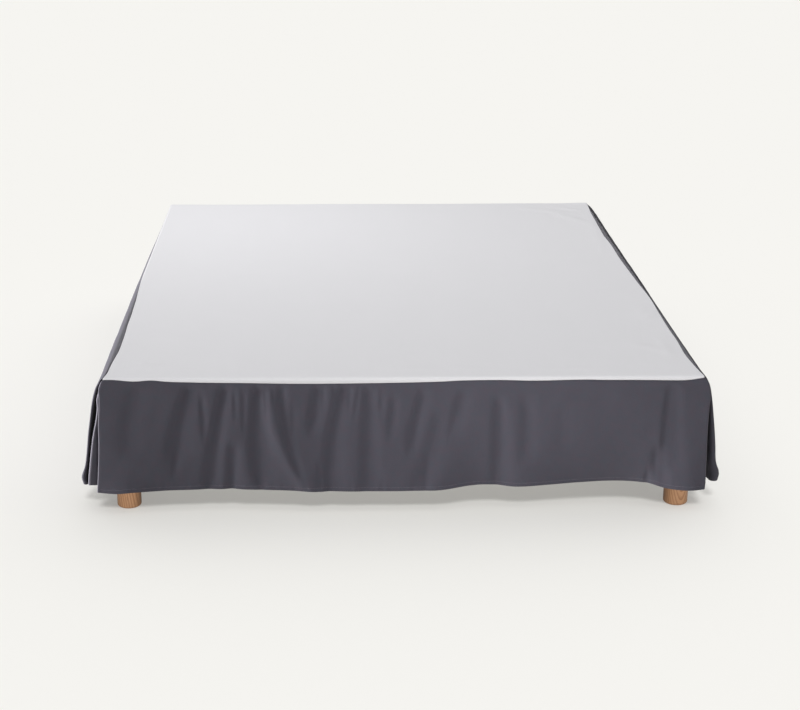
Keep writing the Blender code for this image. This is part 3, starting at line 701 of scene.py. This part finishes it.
def cotton(name, shade, other_shade, slub, pitch, roughness, on_object=False, patch=9.0,
           painted_highlight=None):
    """Plain woven cotton: two threads that cross, slubs, and soft unevenness."""
    finish = Finish(name)
    if on_object:
        place = finish.node("ShaderNodeTexCoord", {}, {}, 3)
    else:
        place = finish.node("ShaderNodeUVMap", {"uv_map": "cloth"}, {})
    height, on_top = woven(finish, place, pitch)
    along = finish.fibres(place, (900.0, 24.0, 1.0))
    across = finish.fibres(place, (24.0, 900.0, 1.0))
    thick = finish.node("ShaderNodeMix", {"data_type": "FLOAT"},
                        {0: on_top, 2: across, 3: along})
    cloudy = finish.rise(finish.noise(place, patch, 3.0, 0.55), 0.3, 0.7)
    thread = finish.blend(thick, scaled(shade, 1 - slub), scaled(shade, 1 + slub))
    colour = finish.blend(0.5, finish.blend(cloudy, shade, other_shade), thread)
    # Painted highlight: paler cotton along pressed fold edges, where they catch the
    # light.
    if painted_highlight:
        colour = finish.blend(finish.attribute("fold_highlight", 2), colour, painted_highlight)
    # Darker between the threads: painted shade in the weave's hollows.
    colour = finish.blend(height * 0.35 + 0.65, scaled(shade, 0.55), colour)
    crumple = finish.noise(place, 38.0, 3.0, 0.5)
    return finish.sockets(
        relief=height * (thick * 0.6 + 0.7) * 0.00009 + crumple * 0.0005,
        Base_Color=colour, Roughness=thick * 0.10 + (roughness - 0.05),
        Specular_IOR_Level=0.25, Sheen_Weight=0.12, Sheen_Roughness=0.45)


def oak(name, pale, dark, roughness):
    """Oiled oak, cut from a ring-grown block, with pores along the grain."""
    finish = Finish(name)
    grain = finish.attribute("grain", 1)
    drift = finish.fibres(grain, (14.0, 14.0, 3.0), 2.0)
    x, y = finish.x_and_y(grain)
    from_pith = finish.maths("SQRT", x * x + y * y)
    rings = finish.maths("FRACT", (from_pith + drift * 0.010) * RINGS_A_METRE)
    late = finish.rise(rings, 0.35, 0.95, "SMOOTHSTEP")
    fine = finish.fibres(grain, (900.0, 900.0, 22.0), 3.0)
    pores = finish.rise(finish.fibres(grain, (1500.0, 1500.0, 60.0)), 0.62, 0.72)
    pores = pores * (1 - late)
    colour = finish.blend(late * 0.85, pale, dark)
    # Painted shade: darker on the side towards the bed's middle; also darker over the
    # lowest 8 mm.
    for share, depth in ((finish.attribute("painted_shade_and_rim", 2) * 0.6, 0.6), (fine * 0.5, 0.72),
                         (pores * 0.6, 0.35)):
        colour = finish.blend(share, colour, scaled(dark, depth))
    return finish.sockets(
        relief=fine * 0.00006 - pores * 0.00020,
        Base_Color=colour, Roughness=roughness + fine * 0.12 - 0.06,
        Specular_IOR_Level=0.35)


def finish_named(name):
    """A material that an earlier operator made."""
    found = bpy.data.materials.get(name)
    if found is None:
        raise RuntimeError(f"make the finishes first: {name} is missing")
    return found


# -------------------------------------------------------------------- settings
def length(name, description, default, low, high):
    return FloatProperty(name=name, description=description, default=default, min=low,
                         max=high, unit="LENGTH", precision=5)


def colour(name, description, default):
    return FloatVectorProperty(name=name, description=description, default=default,
                               size=3, min=0, max=1, subtype="COLOR")


def strength(name, description, default, high=20):
    return FloatProperty(name=name, description=description, default=default, min=0,
                         max=high)


class BedSkirtCloth(bpy.types.PropertyGroup):
    """Sizes and colours of the cloth."""
    thickness: length("Thickness", "Thickness of every sheet", 0.0012, 0.0005, 0.003)
    hem_depth: length("Hem depth", "Height of the turned-up hem", 0.010, 0.004, 0.05)
    fold_radius: length("Hem fold", "Outer radius of the fold along the hem",
                        0.0013, 0.0008, 0.004)
    stitch_pitch: length("Stitch pitch", "Distance from stitch to stitch in the hem",
                         0.0040, 0.002, 0.01)
    thread_radius: length("Thread radius", "Radius of the sewing thread",
                          0.00028, 0.0001, 0.001)
    thread_pitch: length("Weave pitch", "Distance between threads of the weave",
                         0.0008, 0.0003, 0.003)
    skirt_colour: colour("Skirt colour", "Dark grey cotton with a violet cast",
                         (0.0664, 0.0676, 0.0868))
    skirt_other: colour("Skirt cast", "Colour that the cotton drifts towards",
                        (0.0846, 0.0628, 0.0822))
    # Painted highlight: the colour of the skirt's pressed fold edges, paler where they
    # catch the light.
    fold_highlight_colour: colour("Fold highlight colour", "The skirt's cotton along a pressed fold",
                        (0.185, 0.172, 0.205))
    platform_colour: colour("Platform colour", "White cotton", (0.808, 0.803, 0.826))
    thread_colour: colour("Thread colour", "Sewing thread of the hems",
                          (0.20, 0.185, 0.22))


class BedSkirtBase(bpy.types.PropertyGroup):
    """Sizes and colours of the base and its feet."""
    edge: length("Edge", "Rounding of the base's edges", 0.014, 0.002, 0.04)
    foot_radius: length("Foot radius", "Radius of a turned foot", 0.033, 0.01, 0.06)
    foot_round: length("Foot rounding", "Rounding of a foot's lower edge",
                       0.006, 0.001, 0.02)
    base_colour: colour("Base colour", "Off-white upholstery", (0.62, 0.60, 0.56))
    oak_pale: colour("Oak, pale", "Spring growth of the oak", (0.420, 0.228, 0.117))
    oak_dark: colour("Oak, dark", "Late growth of the oak", (0.225, 0.108, 0.048))


class BedSkirtStage(bpy.types.PropertyGroup):
    """The floor and the light."""
    floor_colour: colour("Floor colour", "Pale floor sheet, lit a little from below",
                         (0.600, 0.594, 0.572))
    floor_glow: strength("Floor glow", "Light from under the floor sheet", 0.49, 2)
    sky: strength("Sky", "Even light from all sides", 0.18, 3)
    floor_back: strength("Floor, from behind", "Broad light on the floor sheet", 1.80)
    floor_front: strength("Floor, from the front", "Compact light on the floor sheet",
                          1.47)
    window: strength("Window", "Light on the bed from its left side", 1.0, 5)
    front: strength("Front", "Lamps low in front of the foot end, in watts", 2.85, 200)
    right: strength("Right", "Low light on the bed from its right side", 1.0, 5)
    feet: strength("Feet", "Low light on the feet from the front", 2.6)
    lamp: strength("Lamp", "Lamp above the left head corner, in watts", 11.3, 200)


# -------------------------------------------------------------------- operators
def declare(made, slot_name, *nodes):
    """A finished piece: it rides on the body and stands for its plain solids."""
    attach(made, "root")
    if nodes:
        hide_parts(*nodes)
    return made


class BEDSKIRT_OT_finishes(bpy.types.Operator):
    """Make the cotton, thread, upholstery and oak"""
    bl_idname = "bedskirt.finishes"
    bl_label = "Finishes"

    def execute(self, context):
        sheets, base = context.scene.bed_skirt_cloth, context.scene.bed_skirt_base
        cotton("grey cotton", sheets.skirt_colour, sheets.skirt_other, 0.16,
               sheets.thread_pitch, 0.88, patch=48.0, painted_highlight=sheets.fold_highlight_colour)
        cotton("white cotton", sheets.platform_colour,
               scaled(sheets.platform_colour, 0.985), 0.03, sheets.thread_pitch, 0.90)
        cotton("upholstery", base.base_colour, scaled(base.base_colour, 0.95), 0.08,
               sheets.thread_pitch * 2.5, 0.9, on_object=True)
        Finish("sewing thread").sockets(Base_Color=sheets.thread_colour, Roughness=0.7,
                                        Specular_IOR_Level=0.2)
        oak("oiled oak", base.oak_pale, base.oak_dark, 0.5)
        return {"FINISHED"}


def platform_waves(x, y):
    """How far soft waves lift the platform sheet."""
    total = ripple(x, y, *PLATFORM_UNEVEN)
    for wave in TOP_WAVES:
        turn = math.radians(wave.turn)
        along = (x - wave.x) * math.cos(turn) + (y - wave.y) * math.sin(turn)
        off = (y - wave.y) * math.cos(turn) - (x - wave.x) * math.sin(turn)
        total = total + wave.height * np.exp(
            -(off / wave.width) ** 2 - (2 * along / wave.length) ** 4)
    return total


def platform_grid(settings):
    """The platform sheet's face, in columns from the left, each from the head end."""
    radius = settings.fold_radius
    flat_x = stations((-FLAT_X, SHEET_PITCH), (FLAT_X, None))
    flat_y = stations((-FLAT_Y, SHEET_PITCH), (LENGTH / 2 - HEAD_EDGE, 0.002),
                      (LENGTH / 2 - radius, None))[::-1]
    strip = 1 - (1 - np.linspace(0, 1, STRIP_STEPS + 1)[1:]) ** 1.6
    strip_x, strip_y = FLAT_X + MARGIN * strip, FLAT_Y + MARGIN * strip
    place_x = np.concatenate([-strip_x[::-1], flat_x, strip_x])[:, None]
    place_y = np.concatenate([flat_y, -strip_y])[None, :]
    on_left, on_right = place_x < -FLAT_X - 1e-6, place_x > FLAT_X + 1e-6
    on_foot = place_y < -FLAT_Y - 1e-6

    # How far each point has run over the side and over the foot edge; less than
    # nothing where the cloth is still flat.
    from_foot = np.maximum(place_y + LENGTH / 2, 0.0)
    inset = np.where(place_x < 0, read(SIDE_SEAM[LEFT], from_foot).amount,
                     read(SIDE_SEAM[RIGHT], from_foot).amount)
    along = np.maximum(np.abs(place_x) - FLAT_X, 0.0) / MARGIN
    side_run = mix(ROLL - MARGIN, run_at_inset(inset) - radius, along)
    along = np.maximum(-place_y - FLAT_Y, 0.0) / MARGIN
    seam_drop = read(FOOT_SEAM, place_x).amount
    foot_run = mix(ROLL - MARGIN, run_at_drop(seam_drop) - radius, along)

    # The turn over an edge is part of a tube, and at a corner part of a ball.
    quarter = math.pi / 2 - 0.02
    ball = unit(np.stack([np.tan(np.clip(side_run / ROLL, 0.0, quarter)),
                          np.tan(np.clip(foot_run / ROLL, 0.0, quarter)),
                          np.ones_like(side_run)], axis=2))
    turn_x = WIDTH / 2 - ROLL + np.minimum(side_run, 0.0) + ROLL * ball[..., 0]
    turn_y = LENGTH / 2 - ROLL + np.minimum(foot_run, 0.0) + ROLL * ball[..., 1]
    x = np.where(on_left, -turn_x, np.where(on_right, turn_x, place_x))
    y = np.where(on_foot, -turn_y, place_y)
    below = np.maximum(foot_run - ROLL * math.pi / 2, 0.0)
    z = TOP - ROLL * (1 - ball[..., 2]) - below
    from_edge = np.minimum(WIDTH / 2 - np.abs(x), LENGTH / 2 + y)
    z = z + platform_waves(x, y) * ease(0.002, 0.05, from_edge)
    sag = SAG + SAG * np.sin(SAG_WAVES * x) - HEAD_LIFT * ease(0.66, 0.80, x)
    z = z - sag * ease(LENGTH / 2 - 0.03, LENGTH / 2, y)
    return np.stack([x, y, z], axis=2)


def with_allowances(grid, settings):
    """The platform sheet with seam allowances on three sides and a head-end hem."""
    out = faces_out(grid)

    def turned(edge, next_in, normals, angle=math.pi / 2, beyond=(ALLOWANCE,),
               steps=TURN_STEPS):
        return turn_in(edge, unit(edge - next_in), -normals, settings.fold_radius,
                       angle, beyond, steps)

    left = turned(grid[0], grid[1], out[0])
    right = turned(grid[-1], grid[-2], out[-1])
    foot = turned(grid[:, -1], grid[:, -2], out[:, -1])
    depths = tuple(np.array((0.3, 0.7, 1.0)) * settings.hem_depth)
    head = turned(grid[:, 0], grid[:, 1], out[:, 0], math.pi, depths, HEM_TURN_STEPS)
    k, f, h = len(left), len(foot), len(head)
    count, rows = grid.shape[:2]
    whole = np.zeros((count + 2 * k, rows + f + h, 3))
    whole[k:-k, h:-f] = grid
    whole[:k, h:-f], whole[count + k:, h:-f] = left[::-1], right
    whole[k:-k, rows + h:] = np.moveaxis(foot, 0, 1)
    whole[k:-k, :h] = np.moveaxis(head[::-1], 0, 1)
    for columns, edge in ((slice(0, k), k), (slice(count + k, None), count + k - 1)):
        for lines, row in ((slice(0, h), h), (slice(rows + h, None), rows + h - 1)):
            whole[columns, lines] = (whole[columns, row:row + 1]
                                     + whole[edge:edge + 1, lines]
                                     - whole[edge, row])
    return whole


class BEDSKIRT_OT_platform(bpy.types.Operator):
    """Make the white sheet that lies on the base and turns over its edges"""
    bl_idname = "bedskirt.platform"
    bl_label = "Platform sheet"

    def execute(self, context):
        settings = context.scene.bed_skirt_cloth
        whole = with_allowances(platform_grid(settings), settings)
        made = cloth("platform_sheet", whole, "white cotton", settings.thickness)
        declare(made, "platform_cotton", "platform")
        return {"FINISHED"}


def panel_runs(settings, seam, hem, angle, middle):
    """A panel's runs, their distance below its start, and above its stitches.

    Angle is how far each column has turned back at a corner, where it starts lower.
    """
    radius = settings.fold_radius
    start = mix(seam + radius, run_at_drop(RETURN_TOP), ease(0.0, math.pi, angle))
    stop = run_at_drop(hem_drop(hem)) - radius
    runs = rows_between(start, stop, middle)
    return runs, runs - start[:, None], stop[:, None] - runs - settings.hem_depth


def stitch_dent(above):
    """How far the stitches pull the cloth in."""
    return DENT * np.exp(-(above / DENT_HALF) ** 2)


def grey_sheet(settings, name, node, grid, fold_highlight=None):
    """A sheet of the skirt's cotton with a seam allowance and a hem."""
    whole = with_turns(grid, settings.fold_radius, settings.hem_depth)
    made = cloth(name, whole, "grey cotton", settings.thickness, fold_highlight)
    return declare(made, "skirt_cotton", node)


def hemmed_panel(settings, name, grid, face, fold_highlight=None):
    """A gathered panel, with a row of stitches along the hem of its face."""
    made = grey_sheet(settings, f"skirt_{name}_panel", f"skirt_{name}", grid, fold_highlight)
    thread = stitches(f"hem_stitching_{name}", grid[face, STITCH_ROW],
                      faces_out(grid)[face, STITCH_ROW], settings)
    declare(thread, "skirt_cotton")


def foot_columns():
    """Columns across the foot panel, round its pressed folds and along its returns.

    Each has its place across, its angle round the fold, and whether it is on the face.
    """
    edge = WIDTH / 2 - TIGHT_FOLD
    half_turn = math.pi * TIGHT_FOLD
    end = edge + half_turn + RETURN - TIGHT_FOLD
    outside = stations((-end, 0.006), (-edge - half_turn, half_turn / 9),
                       (-edge, 0.0042), (-0.66, 0.0029), (0.13, 0.0040),
                       (0.66, 0.0034), (edge, half_turn / 9),
                       (edge + half_turn, 0.006), (end, None))
    past = np.abs(outside) - edge
    angle = np.clip(past / TIGHT_FOLD, 0.0, math.pi)
    back = np.maximum(past - half_turn, 0.0)
    across = np.sign(outside) * (np.minimum(np.abs(outside), edge)
                                 + TIGHT_FOLD * np.sin(angle) - back)
    return across, angle, past < 0


class BEDSKIRT_OT_foot_panel(bpy.types.Operator):
    """Make the gathered panel across the foot end, folded back at both corners"""
    bl_idname = "bedskirt.foot_panel"
    bl_label = "Foot panel"

    def execute(self, context):
        settings = context.scene.bed_skirt_cloth
        across, angle, face = foot_columns()
        seam = run_at_drop(read(FOOT_SEAM, across).amount)
        hem = read(FOOT_HEM, across)
        runs, below, above = panel_runs(settings, seam, hem, angle, FOOT_ROWS)
        _, drop = over_edge(runs)
        x = foot_across(across[:, None], drop)
        behind = TIGHT_FOLD * (1 - np.cos(angle))[:, None]
        swell = (read(FOOT_SWELL, across).amount[:, None]
                 * (1 - np.exp(-below / SWELL_RISE)) * np.exp(-below / SWELL_FALL))
        uneven = ripple(x, drop, *FOOT_UNEVEN) * ease(0.0, SMOOTH_TOP, below)
        pucker = ripple(x, drop * 0.2, *PUCKERS) * np.exp(-(above / PUCKER_HALF) ** 2)
        on_face = 1 - ease(0.0, math.pi / 2, angle)[:, None]
        y = (foot_face(x, drop) + behind
             + (uneven + pucker + stitch_dent(above) - swell) * on_face)
        grid = np.stack([x, y, TOP - drop], axis=2)
        # The corner folds get a painted highlight along their turn.
        hemmed_panel(settings, "foot", grid, face, np.sin(angle) ** 2)
        return {"FINISHED"}


class BEDSKIRT_OT_side_panels(bpy.types.Operator):
    """Make the two side panels, each with a soft fold at the foot corner"""
    bl_idname = "bedskirt.side_panels"
    bl_label = "Side panels"

    def execute(self, context):
        for side, name in SIDES:
            self.make_panel(context.scene.bed_skirt_cloth, side, name)
        return {"FINISHED"}

    def make_panel(self, settings, side, name):
        returned = stations((RETURN, -0.006), (0.0, None))[:-1]
        turned = np.linspace(math.pi, 0.0, 15)
        station = stations((0.0, 0.004), (0.24, 0.0056), (LENGTH, None))[1:]
        angle = np.concatenate([np.full(len(returned), math.pi), turned,
                                np.zeros(len(station))])
        back = np.concatenate([returned, np.zeros(len(turned) + len(station))])
        station = np.concatenate([np.zeros(len(returned) + len(turned)), station])
        seam = run_at_inset(read(SIDE_SEAM[side], station).amount)
        hem = read(SIDE_HEM[side], station)
        runs, below, above = panel_runs(settings, seam, hem, angle, SIDE_ROWS)
        past, drop = over_edge(runs)
        turn = angle[:, None]
        corner = read(CORNERS[side], drop)
        place = np.where(
            turn > 0,
            corner.fold_back + corner.soft * (1 - np.sin(turn)) + back[:, None],
            corner_place(side, station[:, None], drop))
        out = side_out(side, place, drop) - corner.soft * (1 - np.cos(turn))
        uneven = ripple(place, drop, 20 + side, *SIDE_UNEVEN)
        uneven = uneven * ease(0.0, SMOOTH_TOP, below)
        x = WIDTH / 2 + past + out - (uneven + stitch_dent(above)) * (turn <= 0)
        grid = np.stack([side * x, place - LENGTH / 2, TOP - drop], axis=2)
        face = angle <= 0
        if side == LEFT:
            grid, face = grid[::-1], face[::-1]
        hemmed_panel(settings, name, grid, face)


class BEDSKIRT_OT_underlays(bpy.types.Operator):
    """Make the two underlays that hang behind the open corners"""
    bl_idname = "bedskirt.underlays"
    bl_label = "Corner underlays"

    def execute(self, context):
        for side, name in SIDES:
            self.make_underlay(context.scene.bed_skirt_cloth, side, name)
        return {"FINISHED"}

    def make_underlay(self, settings, side, name):
        full = TOP - HEM - settings.fold_radius
        drop = rows_between(np.array([RETURN_TOP]), np.array([full]), UNDERLAY_ROWS)
        corner = read(CORNERS[side], drop)
        reach = WIDTH / 2 + corner.crease
        hollow = np.minimum(HOLLOW, reach - 2 * CREASE)
        start = hollow - HOLLOW_WIDE
        level = np.minimum(WIDTH / 2 + corner.panel + DIP_WIDE, reach - 1.25 * CREASE)
        dip = np.minimum(DIP, DIP_STEEP * (level - hollow))

        # Behind the foot panel, back into the hollow, and out to the crease.
        x = np.vstack([mix(first, last, np.linspace(0, 1, steps)[:-1, None])
                       for first, last, steps in (
                           (WIDTH / 2 - RETURN, start, 8), (start, hollow, 13),
                           (hollow, level, 10), (level, reach - CREASE, 5))])
        face = foot_face(side * x, drop) + LENGTH / 2 + 2 * TIGHT_FOLD + LAYER
        y = mix(face, corner.crease_back + dip, ease(start, hollow, x))
        y = y - dip * ease(hollow, level, x)

        # Round the crease, and along the side behind the side panel's fold.
        turn = np.linspace(math.pi / 10, math.pi / 2, 7)[:-1, None]
        turn_x = reach - CREASE * (1 - np.sin(turn))
        turn_y = corner.crease_back + CREASE * (1 - np.cos(turn))
        share = np.linspace(0.02, 1.0, 14)[:, None]
        side_y = corner.crease_back + CREASE + RETURN * share
        room = WIDTH / 2 + side_out(side, side_y, drop) - 2 * corner.soft - LAYER
        columns_x = np.vstack([x, turn_x, np.minimum(reach, room)])
        columns_y = np.vstack([y, turn_y, side_y])
        grid = np.stack([side * columns_x, columns_y - LENGTH / 2,
                         np.broadcast_to(TOP - drop, columns_x.shape)], axis=2)
        # The underlay's crease gets a painted highlight.
        fold_highlight = np.concatenate([np.zeros(len(x)), np.ones(len(turn)),
                               np.zeros(len(side_y))])
        if side == LEFT:
            grid, fold_highlight = grid[::-1], fold_highlight[::-1]
        made = grey_sheet(settings, f"underlay_{name}", f"pleat_{name}", grid, fold_highlight)


class BEDSKIRT_OT_base(bpy.types.Operator):
    """Make the upholstered base that the cloth falls over"""
    bl_idname = "bedskirt.base"
    bl_label = "Base"

    def execute(self, context):
        low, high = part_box("base")
        bpy.ops.object.select_all(action="DESELECT")
        bpy.ops.mesh.primitive_cube_add(size=1.0, location=(low + high) / 2)
        made = context.object
        made.name = made.data.name = "base_box"
        made.scale = high - low
        bpy.ops.object.transform_apply(location=True, rotation=True, scale=True)
        rounding = made.modifiers.new("rounded edges", "BEVEL")
        rounding.width = context.scene.bed_skirt_base.edge
        rounding.segments = 6
        apply_modifiers(made)
        finish_smooth(made, 20, "upholstery")
        declare(made, "base_upholstery", "base")
        return {"FINISHED"}


# Where in its block each foot was turned from: its shift in metres from the pith, and
# its turns in degrees.
BLOCKS = {
    "foot_front_left": ((0.215, 0.010, 0.0), (0.0, 7.0, 0.0)),
    "foot_front_right": ((-0.0105, 0.040, 0.02), (16.0, 4.0, 0.0)),
    "foot_back_left": ((0.020, 0.090, 0.1), (3.0, 5.0, 60.0)),
    "foot_back_right": ((0.010, 0.120, 0.2), (-5.0, 3.0, 140.0)),
}


class BEDSKIRT_OT_feet(bpy.types.Operator):
    """Make the four turned oak feet"""
    bl_idname = "bedskirt.feet"
    bl_label = "Feet"

    def execute(self, context):
        for node, block in BLOCKS.items():
            self.make_foot(context.scene.bed_skirt_base, node, *block)
        return {"FINISHED"}

    def make_foot(self, settings, node, shift, turns):
        low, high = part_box(node)
        middle = (low + high) / 2
        bpy.ops.object.select_all(action="DESELECT")
        bpy.ops.mesh.primitive_cylinder_add(
            vertices=64, radius=settings.foot_radius, depth=high.z - low.z,
            location=middle)
        made = bpy.context.object
        made.name = made.data.name = node + "_turned"
        bpy.ops.object.transform_apply(location=True, rotation=True, scale=True)
        bpy.ops.object.mode_set(mode="EDIT")
        bpy.ops.mesh.select_all(action="DESELECT")
        bpy.ops.object.mode_set(mode="OBJECT")
        points = made.data.vertices
        for edge in made.data.edges:
            edge.select = all(points[i].co.z < low.z + 0.001 for i in edge.vertices)
        bpy.ops.object.mode_set(mode="EDIT")
        bpy.ops.mesh.select_mode(type="EDGE")
        bpy.ops.mesh.bevel(offset=settings.foot_round, segments=6, profile=0.5)
        bpy.ops.object.mode_set(mode="OBJECT")
        finish_smooth(made, 40, "oiled oak")
        self.grow_grain(made, middle, shift, turns)
        declare(made, "oak", node)

    def grow_grain(self, made, middle, shift, turns):
        """Places in the block that the foot was turned from, for the oak's rings, and
        the foot's painted shade.
        """
        turned = Euler([math.radians(angle) for angle in turns]).to_matrix()
        made.data.attributes.new("grain", "FLOAT_VECTOR", "POINT")
        made.data.attributes.new("painted_shade_and_rim", "FLOAT", "POINT")
        grain = made.data.attributes["grain"].data
        painted_shade_and_rim = made.data.attributes["painted_shade_and_rim"].data
        for point, place, share in zip(made.data.vertices, grain, painted_shade_and_rim):
            place.vector = turned @ (point.co - middle) + Vector(shift)
            # Painted shade, darkest on the side towards the bed's middle; the lowest 8
            # mm are darker too.
            inner = (middle.x - point.co.x) * math.copysign(1.0, middle.x)
            share.value = max(ease(0.4, 1.0, inner / SHADE_REACH),
                              1 - ease(0.0, 0.008, point.co.z))


# ------------------------------------------------------------------------ stage
def sun(name, energy, turn, height, softness, lit):
    """A light far away, which falls on one collection.

    Its turn, from the foot end to the right, its height and its softness are degrees.
    """
    turn, height = math.radians(turn), math.radians(height)
    light = bpy.data.lights.new(name, "SUN")
    light.energy = energy
    light.angle = math.radians(softness)
    towards = Vector((math.sin(turn) * math.cos(height),
                      -math.cos(turn) * math.cos(height), math.sin(height)))
    hang(name, light, (0.0, 0.0, 0.0), towards, lit)


def lamp(name, energy, place, width, lit):
    """A round lamp that faces the bed and falls on one collection."""
    light = bpy.data.lights.new(name, "AREA")
    light.shape = "DISK"
    light.size = width
    light.energy = energy
    hang(name, light, place, Vector(place) - Vector((0.0, 0.0, 0.2)), lit)


def hang(name, light, place, towards, lit):
    made = bpy.data.objects.new(name, light)
    made.location = place
    made.rotation_euler = towards.to_track_quat("Z", "Y").to_euler()
    made.visible_camera = False
    made.light_linking.receiver_collection = bpy.data.collections[lit]
    bpy.context.scene.collection.objects.link(made)


class BEDSKIRT_OT_stage(bpy.types.Operator):
    """Set the floor, the light and the camera"""
    bl_idname = "bedskirt.stage"
    bl_label = "Stage"

    def execute(self, context):
        settings = context.scene.bed_skirt_stage
        self.sort_pieces(context)
        self.lay_floor(context, settings)
        self.light(context, settings)
        self.set_camera(context)
        return {"FINISHED"}

    def sort_pieces(self, context):
        """Put each piece in the collections that lights fall on."""
        lit = {name: bpy.data.collections.new(name)
               for name in ("floor sheet", "cloth and base", "skirt and base",
                            "white sheet", "feet")}
        for piece in [made for made in context.scene.objects if made.type == "MESH"]:
            if piece.name.startswith("foot_"):
                lit["feet"].objects.link(piece)
                continue
            white = piece.data.materials[0].name == "white cotton"
            lit["cloth and base"].objects.link(piece)
            lit["white sheet" if white else "skirt and base"].objects.link(piece)

    def lay_floor(self, context, settings):
        bpy.ops.object.select_all(action="DESELECT")
        bpy.ops.mesh.primitive_plane_add(size=120.0, location=(0.0, 0.0, 0.0))
        floor = context.object
        floor.name = floor.data.name = "floor"
        shade = settings.floor_colour
        floor.data.materials.append(Finish("lit floor sheet").sockets(
            Base_Color=shade, Roughness=0.95, Specular_IOR_Level=0.0,
            Emission_Color=shade, Emission_Strength=settings.floor_glow))
        bpy.data.collections["floor sheet"].objects.link(floor)

    def light(self, context, settings):
        world = bpy.data.worlds.new("studio")
        world.use_nodes = True
        sky = world.node_tree.nodes["Background"]
        sky.inputs["Color"].default_value = (1.0, 1.0, 1.0, 1.0)
        sky.inputs["Strength"].default_value = settings.sky
        context.scene.world = world

        window, low_front = settings.window, (0.30, -1.75, 0.35)
        sun("floor light from behind", settings.floor_back, 160, 60, 100, "floor sheet")
        sun("floor light in front", settings.floor_front, 0, 52, 14, "floor sheet")
        sun("window, behind", 6.6 * window, -96, 7, 14, "skirt and base")
        sun("window, middle", 2.62 * window, -84, 10, 16, "skirt and base")
        sun("window, front", 1.43 * window, -74, 12, 20, "skirt and base")
        sun("window, on the sheet", 2.65 * window, -64, 45, 30, "white sheet")
        sun("right light", 0.30 * settings.right, 88, 12, 20, "cloth and base")
        lamp("front lamp", 0.4 * settings.front, low_front, 0.4, "white sheet")
        lamp("skirt lamp", settings.front, low_front, 0.4, "skirt and base")
        lamp("head corner lamp", settings.lamp, (-0.9, 0.96, 2.08), 0.5,
             "cloth and base")
        sun("light on the feet", settings.feet, 0, 8, 20, "feet")

    def set_camera(self, context):
        view = bpy.data.cameras.new("camera")
        view.lens = 71.47
        view.sensor_width = 36.0
        view.shift_x = 0.066
        view.clip_end = 200.0
        camera = bpy.data.objects.new("camera", view)
        camera.location = (-0.207, -4.947, 1.781)
        camera.rotation_euler = (math.radians(90 - 18.646), 0.0, math.radians(-0.811))
        context.scene.collection.objects.link(camera)
        context.scene.camera = camera
        context.scene.view_settings.view_transform = "Standard"
        context.scene.view_settings.look = "None"


OPERATORS = (BEDSKIRT_OT_finishes, BEDSKIRT_OT_platform, BEDSKIRT_OT_foot_panel,
             BEDSKIRT_OT_side_panels, BEDSKIRT_OT_underlays, BEDSKIRT_OT_base,
             BEDSKIRT_OT_feet, BEDSKIRT_OT_stage)
GROUPS = {"bed_skirt_cloth": BedSkirtCloth, "bed_skirt_base": BedSkirtBase,
          "bed_skirt_stage": BedSkirtStage}


class BEDSKIRT_PT_panel(bpy.types.Panel):
    """Bed skirt"""
    bl_idname = "BEDSKIRT_PT_panel"
    bl_label = "Bed skirt"
    bl_space_type = "VIEW_3D"
    bl_region_type = "UI"
    bl_category = "Bed skirt"

    def draw(self, context):
        for operator in OPERATORS:
            self.layout.operator(operator.bl_idname)
        for group in GROUPS:
            settings = getattr(context.scene, group)
            box = self.layout.box()
            for name in settings.__annotations__:
                box.prop(settings, name)


def register():
    for kind in (*GROUPS.values(), *OPERATORS, BEDSKIRT_PT_panel):
        bpy.utils.register_class(kind)
    for name, kind in GROUPS.items():
        setattr(bpy.types.Scene, name, PointerProperty(type=kind))


def unregister():
    for name in GROUPS:
        delattr(bpy.types.Scene, name)
    for kind in (BEDSKIRT_PT_panel, *reversed(OPERATORS), *GROUPS.values()):
        bpy.utils.unregister_class(kind)


def main():
    register()
    bpy.ops.bedskirt.finishes()
    bpy.ops.bedskirt.platform()
    bpy.ops.bedskirt.foot_panel()
    bpy.ops.bedskirt.side_panels()
    bpy.ops.bedskirt.underlays()
    bpy.ops.bedskirt.base()
    bpy.ops.bedskirt.feet()
    bpy.ops.bedskirt.stage()


if __name__ == "__main__":
    main()
